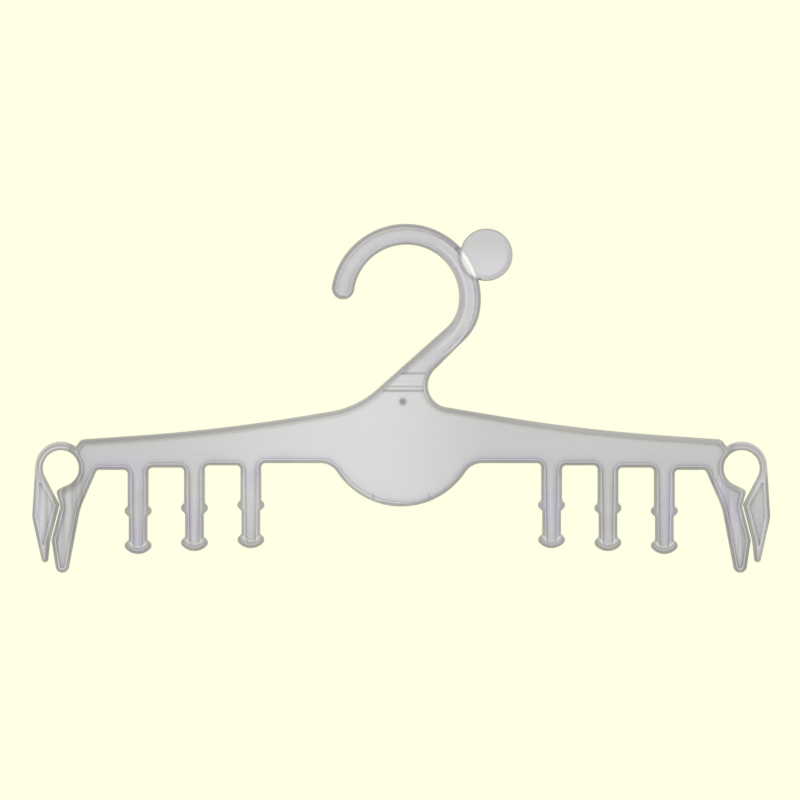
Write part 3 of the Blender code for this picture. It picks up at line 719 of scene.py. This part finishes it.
def painted_rim_shading_group():
    """Paints light and shade on the rim by its kind, and warms and polishes the thick plastic.

    Each kind of rim has an input for how far it shows. The inner line of painted shade is weaker
    on edges that face right or down.
    """
    tree, given, result = new_group(
        "painted_rim_shading", {"Moulded": "Vector", "Color": "Color", **dict.fromkeys(PAINTED_RIM_TONES, "Float")},
        {"Color": "Color", "Roughness": "Float"})
    section, sideways, upward = axes(given["Moulded"])
    weak = maths("ADD", fade(sideways, *WEAK_RIGHT), fade(upward, *WEAK_BELOW))
    lined = times(without(weak), given["Line"])
    unlined = times(fade(section, *PAST_LINE), fade(section, *OFF_WEB), without(lined))
    tone = blended(unlined, tone_curve(section, PAINTED_RIM_TONES["Line"]), UNLINED_TONE)
    pale = times(given["Pale"], fade(section, *PALE_EDGE))
    tone = blended(pale, tone, tone_curve(section, PAINTED_RIM_TONES["Pale"]))
    for kind in ("Soft", "Crown", "Top", "Even"):
        tone = blended(given[kind], tone, tone_curve(section, PAINTED_RIM_TONES[kind]))
    colour = blended(1.0, given["Color"], tone, "MULTIPLY")
    tinted = blended(1.0, colour, OLIVE_TINT, "MULTIPLY")
    tree.links.new(blended(fade(section, *WARM_EDGE), colour, tinted), result["Color"])
    tree.links.new(fade(section, *RIM_GLOSS), result["Roughness"])
    return tree


# Scale, detail and stretch of the noise, and the values where a streak is dark and light.
DOWN_STREAKS = (560.0, 2.0, (1.0, 0.3, 0.04)), (0.32, 0.68)
ARM_STREAKS = (420.0, 1.0, (0.05, 0.3, 1.0)), (0.3, 0.7)
STREAK_LEVEL = 0.99
DOWN_STRENGTH = 0.05
CLIP_STREAKS = (*mm(104, 112), 0.0, 0.11)  # how much stronger they get at the clips
ARM_STREAK_FADE = (*mm(-52, -60), 0.0, 0.01)


def flow_streaks_group():
    """Faint streaks along the arms, and clearer ones down the prongs and jaws."""
    tree, given, result = new_group("flow_streaks", {"Place": "Vector", "Color": "Color"},
                                    {"Color": "Color", "Height": "Float"})
    place = given["Place"]
    height = axes(place)[2]
    down, along = (fade(noise(place, *grain), *ends, -1.0, 1.0)
                   for grain, ends in (DOWN_STREAKS, ARM_STREAKS))
    off_panel = fade(distance(place, BODY), PANEL_RADIUS, PANEL_RADIUS + 8 * MM)
    strength = times(fade(height, *mm(-80, -88)), off_panel, maths(
        "ADD", fade(from_middle(place), *CLIP_STREAKS), DOWN_STRENGTH))
    streak = maths("MULTIPLY_ADD", down, strength, STREAK_LEVEL)
    streak = maths("MULTIPLY_ADD", times(along, off_panel), fade(height, *ARM_STREAK_FADE), streak)
    tree.links.new(blended(1.0, given["Color"], streak, "MULTIPLY"), result["Color"])
    tree.links.new(streak, result["Height"])
    return tree


MILKY_WEB = milky_web_group()
PAINTED_RIM_SHADING = painted_rim_shading_group()
FLOW_STREAKS = flow_streaks_group()
GRAIN_SCALE = 1500.0
GRAIN_HEIGHT = 0.12
BUMP_DISTANCE = 0.05 * MM


def natural_plastic(name, place_kind, values_at, rim_looks, marked):
    """Milky polypropylene, with its patterns on Object coordinates or on an attribute.

    values_at gives by name what the looks of this piece depend on. From these, rim_looks
    gives how far each kind of painted rim light and shade shows, and marked adds to the colour
    what only this piece has, painted light and shade among it.
    """
    material = bpy.data.materials.new(name)
    material.use_nodes = True
    tree = material.node_tree
    shader = tree.nodes["Principled BSDF"]
    if place_kind == "Object":
        place = add_node("TexCoord", tree=tree).outputs["Object"]
    else:
        place = add_node("Attribute", tree=tree,
                         attribute_name=place_kind).outputs["Vector"]
    moulded = add_node("Attribute", tree=tree, attribute_name=MOULDED).outputs["Vector"]
    web = add_node("Group", {"Place": place}, node_tree=MILKY_WEB).outputs
    streaks = add_node("Group", {"Place": place, "Color": web["Color"]},
                       node_tree=FLOW_STREAKS).outputs
    values = values_at(place, moulded)
    rim = add_node("Group", {
        "Moulded": moulded, "Color": streaks["Color"], **rim_looks(values)},
        node_tree=PAINTED_RIM_SHADING).outputs
    tree.links.new(marked(values, rim["Color"]), shader.inputs["Base Color"])
    tree.links.new(rim["Roughness"], shader.inputs["Roughness"])
    height = maths("MULTIPLY_ADD", noise(place, GRAIN_SCALE, 1.0), GRAIN_HEIGHT,
                   streaks["Height"])
    bump = add_node("Bump", {
        "Height": height, "Strength": 0.25, "Distance": BUMP_DISTANCE})
    tree.links.new(bump.outputs["Normal"], shader.inputs["Normal"])
    shader.inputs["IOR"].default_value = 1.49
    shader.inputs["Specular IOR Level"].default_value = 0.45
    return material


# Neck step, size disc and gate mark
# The neck is a step thicker where it meets the panel. A bare disc on the hook's
# shoulder takes a size sticker, and the gate left a shallow round mark on the front.

NECK_PAD_TOP = 20.4 * MM  # heights above the panel's centre
NECK_PAD_FOOT = 15.7 * MM
NECK_PAD_THICKNESS = 2.8 * MM
NECK_PAD_INSET = 0.7 * MM
NECK_LEDGE_FOOT = 14.2 * MM
NECK_LEDGE_THICKNESS = 2.2 * MM
NECK_LEDGE_INSET = 0.9 * MM
STEP_OVERLAP = 1.0 * MM
STEP_ROUND = 0.15 * MM
DISC_RADIUS = 9.6 * MM
DISC_THICKNESS = 2.4 * MM
DISC_ANGLE = 28.7
DISC_STANDOFF = 6.15 * MM
DISC_ROUND = 0.45 * MM
DISC_EDGE_TURN = 80.0  # its round edges turn more than this
GATE_OFFSET = Vector((0.6 * MM, 10.2 * MM))
GATE_STATIONS = mm(1.05, 0.0), mm(0.9, 0.06), mm(0.7, 0.35)  # radius, and depth in the web
SHARP_ANGLE = 34.0

DISC_CENTRE = HOOK_CENTRE + direction(DISC_ANGLE) * (OUTER_RADIUS + DISC_STANDOFF)
GATE = BODY + GATE_OFFSET


def neck_slab(foot, top, thickness, inset):
    """A slice of the neck between two heights, whose ends are buried in the rims."""
    bm = bmesh.new()
    outline = moulding_outline(False)
    faces = [add_ring(bm, outline, inset, side * thickness / 2, 3.0) for side in (-1, 1)]
    bmesh.ops.bridge_loops(bm, edges=faces[0] + faces[1])
    for ring in faces:
        bmesh.ops.contextual_create(bm, geom=ring)
    for height, up in ((foot, -1), (top, 1)):
        bmesh.ops.bisect_plane(bm, geom=bm.verts[:] + bm.edges[:] + bm.faces[:],
                               plane_co=(0, 0, BODY.y + height), plane_no=(0, 0, up),
                               clear_outer=True)
        bmesh.ops.contextual_create(bm, geom=[edge for edge in bm.edges if edge.is_boundary])
    across = [edge for edge in bm.edges
              if edge.calc_face_angle(0) > radians(SHARP_ANGLE)
              and abs(edge.verts[0].co.z - edge.verts[1].co.z) < WELD
              and abs(edge.verts[0].co.y - edge.verts[1].co.y) < WELD]
    bmesh.ops.bevel(bm, geom=across, offset=STEP_ROUND, offset_type="OFFSET", segments=3,
                    profile=0.5, affect="EDGES", material=-1)
    return bm


def size_disc():
    """A round plate on the hook's shoulder, with rounded edges."""
    bm = bmesh.new()
    bmesh.ops.create_circle(bm, cap_ends=True, segments=96, radius=DISC_RADIUS)
    lifted = bmesh.ops.extrude_face_region(bm, geom=bm.faces[:])
    raised = [item for item in lifted["geom"] if isinstance(item, bmesh.types.BMVert)]
    bmesh.ops.translate(bm, verts=raised, vec=(0, 0, DISC_THICKNESS))
    bmesh.ops.translate(bm, verts=bm.verts[:], vec=(0, 0, -DISC_THICKNESS / 2))
    bmesh.ops.rotate(bm, verts=bm.verts[:], cent=(0, 0, 0),
                     matrix=Matrix.Rotation(radians(90), 3, "X"))
    bmesh.ops.translate(bm, verts=bm.verts[:], vec=(DISC_CENTRE.x, 0, DISC_CENTRE.y))
    bmesh.ops.recalc_face_normals(bm, faces=bm.faces[:])
    rims = [edge for edge in bm.edges if edge.calc_face_angle(0) > radians(DISC_EDGE_TURN)]
    bmesh.ops.bevel(bm, geom=rims, offset=DISC_ROUND, offset_type="OFFSET", segments=5,
                    profile=0.5, affect="EDGES", material=-1)
    mark = bm.verts.layers.float_vector.new(DRAWN)
    for vert in bm.verts:
        vert[mark] = (3.0, 0.0, 0.0)
    return bm


def unite(obj, tool):
    """Adds the tool's solid to the object's with a Boolean, and removes the tool.

    Edges without length, which the Boolean leaves where both have a corner, go too.
    """
    modifier = obj.modifiers.new("union", "BOOLEAN")
    modifier.operation = "UNION"
    modifier.solver = "EXACT"
    modifier.object = tool
    shape = obj.evaluated_get(bpy.context.evaluated_depsgraph_get())
    mesh = bpy.data.meshes.new_from_object(shape)
    bm = bmesh.new()
    bm.from_mesh(mesh)
    bmesh.ops.dissolve_degenerate(bm, edges=bm.edges[:], dist=WELD / 10)
    bm.to_mesh(mesh)
    bm.free()
    obj.modifiers.clear()
    obj.data = mesh
    bpy.data.objects.remove(tool)


def smooth(obj):
    """Soft shading with sharp edges kept, and flat faces that stay flat."""
    obj.data.shade_smooth()
    obj.data.set_sharp_from_angle(angle=radians(SHARP_ANGLE))
    weighted = obj.modifiers.new("flat_faces", "WEIGHTED_NORMAL")
    weighted.keep_sharp = True


CORE = 0.2  # share of a mark's reach that has its full strength


def close_to(value, centre, reach, strength=1.0):
    """Full strength where the value is near the centre, and nothing at the reach."""
    off = maths("ABSOLUTE", maths("SUBTRACT", value, centre))
    return fade(off, reach, reach * CORE, 0.0, strength)


def prong_places(place):
    """How far a place is from its nearest prong's middle, and above that prong's tip."""
    out = from_middle(place)
    steps = maths("DIVIDE", maths("SUBTRACT", out, PRONG_FIRST_X), PRONG_PITCH)
    index = maths("MINIMUM", maths("ROUND", steps), PRONG_COUNT - 1.0)
    middle = maths("MULTIPLY_ADD", index, PRONG_PITCH, PRONG_FIRST_X)
    tip = maths("MULTIPLY_ADD", index, -PRONG_STEP, BODY.y - ARM_FOOT_DROP - PRONG_LENGTH)
    return (maths("ABSOLUTE", maths("SUBTRACT", out, middle)),
            maths("SUBTRACT", axes(place)[2], tip))


def moulding_values(place, moulded):
    """Where a place on the moulding lies, and which way the outline by it faces."""
    x, depth, height = axes(place)
    section, sideways, upward = axes(moulded)
    off, rise = prong_places(place)
    drop = maths("SUBTRACT", rise, FOOT_ARC)
    from_arc = maths("SQRT", maths("ADD", times(off, off), times(drop, drop)))
    return {
        "x": x, "depth": depth, "height": height, "section": section, "upward": upward,
        "down_right": maths("SUBTRACT", sideways, upward), "out": from_middle(place),
        "off": off, "rise": rise, "into_foot": maths("SUBTRACT", FOOT_ARC, from_arc),
        "slant": maths("SUBTRACT", x, height), "from_panel": distance(place, BODY),
        "from_bore": distance(place, BORE_CENTRE), "from_hook": distance(place, HOOK_CENTRE),
        "from_disc": distance(place, DISC_CENTRE), "from_gate": distance(place, GATE),
        "from_upper_crease": distance(place, UPPER_CREASE),
        "from_lower_crease": distance(place, LOWER_CREASE)}


def shown(values, *covers):
    """How strongly something shows that needs all its covers.

    A cover is the name of a value and a pair as above, or else the name, the middle of a
    line, how far the line reaches to either side and how strong it is.
    """
    return times(*[fade(values[name], *numbers[0]) if isinstance(numbers[0], tuple)
                   else close_to(values[name], *numbers) for name, *numbers in covers])


def with_marks(values, colour, marks):
    """Puts marks on the colour, each with its levels, or None to darken, and its covers."""
    for levels, *covers in marks:
        coat = shade(*levels) if levels else (0.0, 0.0, 0.0, 1.0)
        colour = blended(shown(values, *covers), colour, coat)
    return colour


FOOT_ARC = 6.15 * MM
HOOK_LINE_INSET = 2.65 * MM
UPPER_CREASE = Vector(mm(18.6, -1.5))
LOWER_CREASE = Vector(mm(26.7, -13.0))

ON_HOOK = ("height", mm(-44, -36))
HOOK_LEFT = mm(18, 8)
BY_BORE = mm(3.6, 2.8, past=BORE_RADIUS)
FACING_UP = ("upward", (0.35, 0.9))
BORE_ON_RIGHT = ON_HOOK, ("x", HOOK_LEFT[::-1]), ("from_bore", BY_BORE)
# Where each kind of painted rim light and shade shows on the moulding.
MOULDING_RIMS = {
    "Soft": (ON_HOOK, ("x", HOOK_LEFT), ("from_bore", BY_BORE)),
    "Crown": (ON_HOOK, ("x", HOOK_LEFT), ("from_bore", BY_BORE[::-1])),
    "Pale": (("height", mm(-82, -87)), ("off", mm(7, 6)), ("rise", (*mm(2.5, 5.0), 0.2, 1.0))),
    "Even": (("down_right", (0.9, 1.3)), ("from_panel", mm(3, 0, past=PANEL_RADIUS))),
}


def moulding_rim_looks(values):
    """Line is under all others, and Top, painted shade, is by the bore on the right and wherever a
    rim faces up.
    """
    looks = {kind: shown(values, *covers) for kind, covers in MOULDING_RIMS.items()}
    up = times(shown(values, FACING_UP), without(looks["Crown"]))
    return {"Line": 1.0, **looks, "Top": maths("MAXIMUM", shown(values, *BORE_ON_RIGHT), up)}


HOOK_RIGHT = ("x", mm(8, 16)), ("height", mm(-46, -36))
IN_FOOT = ("rise", mm(5.0, 4.0)), ("off", mm(4.4, 3.4)), ("height", mm(-90, -95))
ACROSS_NECK = ("section", (2.2, 2.8)), ("x", (*mm(-3, 10), 1.0, 0.7))
MOULDING_MARKS = (
    # Painted light: a pale line along either edge of the hook's right side, and the paler rim at
    # its bore.
    ((219, 218, 221), ("from_bore", BORE_RADIUS + HOOK_LINE_INSET, 0.55 * MM, 0.7), *HOOK_RIGHT),
    ((219, 218, 221), ("from_hook", OUTER_RADIUS - HOOK_LINE_INSET, 0.55 * MM, 0.7), *HOOK_RIGHT),
    ((210, 209, 212), ("from_bore", BORE_RADIUS + 0.9 * MM, 1.5 * MM, 0.3), *HOOK_RIGHT),
    # The fixed jaws' darker web, and on the right arm the rims that face up painted paler, easing
    # their painted shade.
    (None, ("out", mm(111, 115)), ("height", mm(-84, -90)), ("section", (2.0, 2.8, 0.0, 0.06))),
    ((204, 203, 203), ("x", (*mm(15, 60), 0.0, 0.3)), FACING_UP, ("section", (2.8, 2.2))),
    # The disc's painted shadow on the hook, a painted highlight on the rim beside it, and painted
    # shade in the crease at either end.
    ((146, 144, 146), ("from_disc", DISC_RADIUS + 0.5 * MM, 0.9 * MM, 0.55),
     ("from_hook", mm(-1.2, -2.0, past=OUTER_RADIUS))),
    ((251, 251, 251), ("from_hook", OUTER_RADIUS - 1.3 * MM, 1.7 * MM, 0.95),
     ("from_disc", mm(0.2, -1.2, past=DISC_RADIUS))),
    ((120, 118, 122), ("from_upper_crease", *mm(0, 1.3), 0.7)),
    ((120, 118, 122), ("from_lower_crease", *mm(0, 1.3), 0.7)),
    # Dark lines inside the prongs' bumps, and a dark and a pale arc in their feet.
    ((128, 126, 130), ("off", PRONG_LOWER_WIDTH / 2 + 0.1 * MM, 0.75 * MM),
     ("rise", BUMP_HEIGHT, BUMP_HALF_LENGTH + 0.8 * MM, 0.45), ("section", (0.85, 1.0))),
    ((168, 167, 168), ("into_foot", *mm(1.75, 0.7), 0.8), *IN_FOOT),
    ((214, 213, 214), ("into_foot", *mm(2.6, 0.6), 0.8), *IN_FOOT),
    # Painted shade in lines across the neck at its steps, and the gate's mark on the front.
    *((None, ("height", BODY.y + rise, reach, strength), *ACROSS_NECK)
      for rise, reach, strength in (
          (NECK_PAD_TOP + 0.2 * MM, 0.7 * MM, 0.28), (NECK_PAD_FOOT + 0.2 * MM, 0.55 * MM, 0.22),
          (NECK_LEDGE_FOOT + 0.1 * MM, 0.85 * MM, 0.32), (*mm(17.6, 0.5), 0.07))),
    ((138, 138, 138), ("from_gate", *mm(0, 2.2), 0.85), ("depth", mm(0, -0.3))),
)
ON_DISC = (("from_hook", mm(-0.3, 0.1, past=OUTER_RADIUS)),
           ("from_disc", mm(0.2, 0.05, past=DISC_RADIUS)))
DISC_BAND = ("from_disc", (*mm(-2.3, -1.7, past=DISC_RADIUS), 0.0, 0.5)), ("slant", mm(30, 46))
DISC_EDGE = ("from_disc", (*mm(-0.8, -0.3, past=DISC_RADIUS), 0.0, 0.75))
DISC_HEIGHTS = ("height", mm(5, -12))


def moulding_marked(values, colour):
    """The disc's greys, darker at its edge and in a band at its lower right, and all marks."""
    disc = blended(shown(values, DISC_HEIGHTS), shade(195, 196, 199), shade(210, 208, 217))
    dark = maths("MAXIMUM", shown(values, *DISC_BAND), shown(values, DISC_EDGE))
    disc = painted(disc, (162, 158, 156), dark)
    return with_marks(values, blended(shown(values, *ON_DISC), colour, disc), MOULDING_MARKS)


moulding_mesh, (front_web, back_web) = rimmed_shell(
    moulding_outline(False), moulding_outline(True), RIM_WIDTH)
fill(moulding_mesh, back_web, 1)
gate_rings = [add_ring(moulding_mesh, [arc(GATE, radius, 180.0, -180.0)], 0.0,
                       depth - WEB_THICKNESS / 2, 3.0) for radius, depth in GATE_STATIONS]
for near, far in zip(gate_rings, gate_rings[1:]):
    bmesh.ops.bridge_loops(moulding_mesh, edges=near + far)
fill(moulding_mesh, front_web + gate_rings[0], -1)
fill(moulding_mesh, gate_rings[-1], -1)
moulding = add_object("hanger_moulding", moulding_mesh)

neck_steps = add_object("neck_steps", neck_slab(
    NECK_PAD_FOOT, NECK_PAD_TOP, NECK_PAD_THICKNESS, NECK_PAD_INSET))
unite(neck_steps, add_object("neck_ledge", neck_slab(
    NECK_LEDGE_FOOT, NECK_PAD_FOOT + STEP_OVERLAP, NECK_LEDGE_THICKNESS, NECK_LEDGE_INSET)))
unite(moulding, neck_steps)
unite(moulding, add_object("size_disc", size_disc()))
smooth(moulding)
moulding.data.materials.append(natural_plastic(
    "natural_plastic", "Object", moulding_values, moulding_rim_looks, moulding_marked))
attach(moulding, "frame")
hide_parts("hanger_frame")


# Sprung clips
# A curved spring bow runs round each eye and becomes a swinging jaw. Bow and jaw are
# one piece of plastic with the arm, and the bow bends when the jaw is pulled open.

JAW_GAP = 0.45 * MM
JAW_INNER_LEAN = 27.5
JAW_OUTER_LEAN = 3.5
JAW_BULGE_RADIUS = 1.5 * MM
JAW_GRIP_FILLET = 1.5 * MM
JAW_HEEL = mm(0.0, -18.0)
JAW_HEEL_RADIUS = 8.0 * MM
JAW_TIP = mm(-5.8, -33.3)
JAW_TIP_RADIUS = 1.25 * MM
JAW_RIM_WIDTH = 1.5 * MM
POCKET_CORNER = 2.2 * MM
POCKET_TIP = JAW_TIP_RADIUS + 0.5 * MM
GRIP_RIM_EXTRA = 0.65 * MM  # the rim is this much wider along the grip


def jaw_edges():
    """The jaw's own corners: bulge, grip end, heel and the top of its outer edge."""
    valley, tooth = clip(VALLEY), clip(TOOTH)
    grip = (tooth - valley).normalized()
    clear = Vector((-grip.y, grip.x)) * JAW_GAP
    inner = EYE + direction(-JAW_INNER_LEAN) * EYE_RADIUS
    bulge = meet(inner, -JAW_INNER_LEAN - 90, valley + clear, angle_of(grip))
    root = BOW_CENTRE + direction(JAW_OUTER_LEAN) * BOW_RADIUS
    heel = meet(clip(JAW_HEEL), 0.0, root, JAW_OUTER_LEAN - 90)
    return bulge, tooth + clear, heel, root


def clip_outline():
    """Bow, outer edge, tip, grip and inner edge, from the joint on the arm."""
    bulge, grip_end, heel = jaw_edges()[:3]
    tip = clip(JAW_TIP)
    return [
        arc(BOW_CENTRE, BOW_RADIUS, BOW_JOIN, JAW_OUTER_LEAN),
        corner(heel, JAW_HEEL_RADIUS),
        arc(tip, JAW_TIP_RADIUS, touch(heel, tip, JAW_TIP_RADIUS, -1),
            touch(grip_end, tip, JAW_TIP_RADIUS, 1) - 360),
        corner(grip_end, JAW_GRIP_FILLET),
        corner(bulge, JAW_BULGE_RADIUS),
        arc(EYE, EYE_RADIUS, -JAW_INNER_LEAN, BOW_JOIN),
    ]


def jaw_recess_outline():
    """The recess in the jaw, with a wider rim beside it along the grip."""
    bulge, grip_end, heel, root = jaw_edges()
    tip = clip(JAW_TIP)
    to_tip = touch(grip_end, tip, JAW_TIP_RADIUS, 1) - 90
    bulge.x += GRIP_RIM_EXTRA
    grip_end.x += GRIP_RIM_EXTRA
    point = meet(heel, touch(heel, tip, JAW_TIP_RADIUS, -1) - 90, grip_end, to_tip)
    top = meet(root, JAW_OUTER_LEAN - 90, bulge, -JAW_INNER_LEAN - 90)
    return [corner(top, POCKET_CORNER), corner(heel, JAW_HEEL_RADIUS),
            corner(point, POCKET_TIP), corner(grip_end, JAW_GRIP_FILLET),
            corner(bulge, POCKET_CORNER)]


REST_PLACE = "rest_place"  # where a point lies with the clip closed, on each point


def keep_rest_places(mesh):
    """The materials read these places, so their patterns would stay with the plastic if the bow
    were bent.
    """
    places = [number for vert in mesh.vertices for number in vert.co]
    mesh.attributes.new(REST_PLACE, "FLOAT_VECTOR", "POINT").data.foreach_set("vector", places)


def from_clip_point(place, centre):
    """How far a place is from a point of the clip, on either side of the hanger."""
    folded = add_node("CombineXYZ", {"X": from_middle(place), "Z": axes(place)[2]})
    return distance(folded.outputs["Vector"], Vector((centre.x, centre.y + BODY.y)))


def clip_values(place, moulded):
    """Where a place on a clip lies, and which way the outline by it faces."""
    x, height = axes(place, "XZ")
    section, sideways, upward = axes(moulded)
    return {
        "x": x, "height": height, "section": section, "upward": upward,
        "to_grip": times(maths("SIGN", x), sideways, -1.0), "out": from_middle(place),
        "from_eye": from_clip_point(place, EYE), "from_bow": from_clip_point(place, BOW_CENTRE)}


GRIP_SIDE = ("from_eye", mm(9, 14)), ("to_grip", (0.3, 0.8))
GRIP_LINE = 1.3
BY_JOINT = ("out", mm(-1.5, -4.5, past=EYE.x))
PAST_JOINT = ("out", mm(-4.5, -1, past=EYE.x))
BOW = PAST_JOINT, ("height", mm(-6, 1, past=BODY.y + EYE.y))
BOW_LINE = *BOW, PAST_JOINT, ("section", (0.6, 0.95)), ("x", (*mm(-1, 1), 1.0, 0.4))
CLIP_MARKS = (
    # The right clip's darker web, and the pockets' walls painted paler against their shade, but not
    # along the grip.
    (None, ("x", mm(-1, 1)), ("section", (2.0, 2.8, 0.0, 0.12))),
    ((248, 248, 250), ("section", (1.45, 1.7, 0.0, 0.5)), ("section", (2.9, 2.4)),
     ("to_grip", (0.8, 0.3))),
    # The bow's thick plastic, its paler outside, and a pale line and a dark one round it.
    ((178, 176, 182), *BOW, ("section", (0.6, 0.95, 0.0, 0.35))),
    ((200, 198, 196), *BOW, ("from_bow", (*mm(8.35, 8.8), 0.0, 0.85))),
    ((214, 213, 214), ("from_eye", *mm(7.65, 0.55), 0.8), *BOW_LINE),
    ((158, 157, 158), ("from_eye", *mm(8.3, 0.45), 0.65), *BOW_LINE),
)


def clip_rim_looks(values):
    """Painted rim shading: Line and Top by the joint as on the arm, Line also along the grip, and
    Pale elsewhere.
    """
    lined, by_joint = shown(values, *GRIP_SIDE), shown(values, BY_JOINT)
    return {"Line": maths("MAXIMUM", times(lined, GRIP_LINE), by_joint),
            "Pale": times(without(lined), without(by_joint)),
            "Top": times(by_joint, shown(values, FACING_UP))}


def clip_marked(values, colour):
    """The colour with the clip's marks."""
    return with_marks(values, colour, CLIP_MARKS)


clip_plastic = natural_plastic("natural_plastic_clips", REST_PLACE, clip_values, clip_rim_looks,
                               clip_marked)
for side in ("left", "right"):
    turn = mirrored if side == "left" else list
    clip_mesh, clip_webs = rimmed_shell(placed(turn(clip_outline())),
                                        placed(turn(jaw_recess_outline())), JAW_RIM_WIDTH)
    for web in clip_webs:
        fill(clip_mesh, web, 1)
    sprung_clip = add_object(side + "_sprung_clip", clip_mesh)
    smooth(sprung_clip)
    keep_rest_places(sprung_clip.data)
    sprung_clip.data.materials.append(clip_plastic)
    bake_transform(sprung_clip)
    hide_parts(side + "_spring_bow", side + "_clip_jaw")


# Stage
# Plain pale surroundings, soft lamps and the photograph's square-on view. A pale floor
# lies well below the hanger, which hangs free in the photograph.

PALE = shade(255, 255, 229)
ROOM_GREY = (0.55, 0.55, 0.55, 1.0)  # what lights the hanger from all round
VIEW_CENTRE = Vector((-2.35 * MM, 0.0, -57.04 * MM))
VIEW_WIDTH = 293.76 * MM  # of what the photograph shows, at the hanger
VIEW_DISTANCE = 2.4
SENSOR = 36.0  # camera film and lens are in millimetres
FLOOR_DROP = 0.45
FLOOR_RADIUS = 1.1
FLOOR_LIT = (0.2, FLOOR_RADIUS * 0.9, 0.55, 0.0)  # from 55% lit by the lamps to all glow
# Each lamp's name, place, width and power in watts.
LAMPS = (("key_lamp", (-0.9, -1.6, 1.1), 1.2, 15.4), ("fill_lamp", (1.2, -1.4, 0.3), 1.2, 8.1))

world = bpy.data.worlds.new("pale_room")
world.use_nodes = True
room = world.node_tree
seen = add_node("LightPath", tree=room).outputs
shows = maths("MAXIMUM", seen["Is Camera Ray"],
              maths("MAXIMUM", seen["Is Glossy Ray"], seen["Is Transmission Ray"]))
room.links.new(blended(shows, ROOM_GREY, PALE), room.nodes["Background"].inputs["Color"])

floor_mesh = bmesh.new()
bmesh.ops.create_circle(floor_mesh, cap_ends=True, segments=96, radius=FLOOR_RADIUS)
bmesh.ops.translate(floor_mesh, verts=floor_mesh.verts[:], vec=(0, 0, -FLOOR_DROP))
floor_data = bpy.data.meshes.new("floor")
floor_mesh.to_mesh(floor_data)
floor_mesh.free()
floor = new_object("floor", floor_data)
paint = bpy.data.materials.new("pale_floor")
paint.use_nodes = True
tree = paint.node_tree
tree.nodes.remove(tree.nodes["Principled BSDF"])
spot = add_node("TexCoord", tree=tree).outputs["Object"]
turned = add_node("Mapping", {"Vector": spot, "Rotation": (radians(90), 0.0, 0.0)})
lit_share = fade(distance(turned.outputs["Vector"], Vector((0.0, 0.0))), *FLOOR_LIT)
lit = add_node("BsdfDiffuse", {"Color": PALE}, tree=tree).outputs["BSDF"]
glow = add_node("Emission", {"Color": PALE}, tree=tree).outputs["Emission"]
soft = add_node("MixShader", {0: lit_share, 1: glow, 2: lit}).outputs["Shader"]
tree.links.new(soft, tree.nodes["Material Output"].inputs["Surface"])
floor_data.materials.append(paint)

for name, place, size, power in LAMPS:
    lamp_data = bpy.data.lights.new(name, "AREA")
    lamp_data.size = size
    lamp_data.energy = power
    lamp = new_object(name, lamp_data)
    lamp.location = place
    lamp.rotation_euler = (VIEW_CENTRE - Vector(place)).to_track_quat("-Z", "Y").to_euler()

camera_data = bpy.data.cameras.new("camera")
camera_data.sensor_width = SENSOR
camera_data.lens = SENSOR * VIEW_DISTANCE / VIEW_WIDTH
camera = new_object("camera", camera_data)
camera.location = VIEW_CENTRE + Vector((0.0, -VIEW_DISTANCE, 0.0))
camera.rotation_euler = (radians(90), 0.0, 0.0)
scene = bpy.context.scene
scene.camera = camera
scene.world = world
scene.view_settings.view_transform = "Standard"
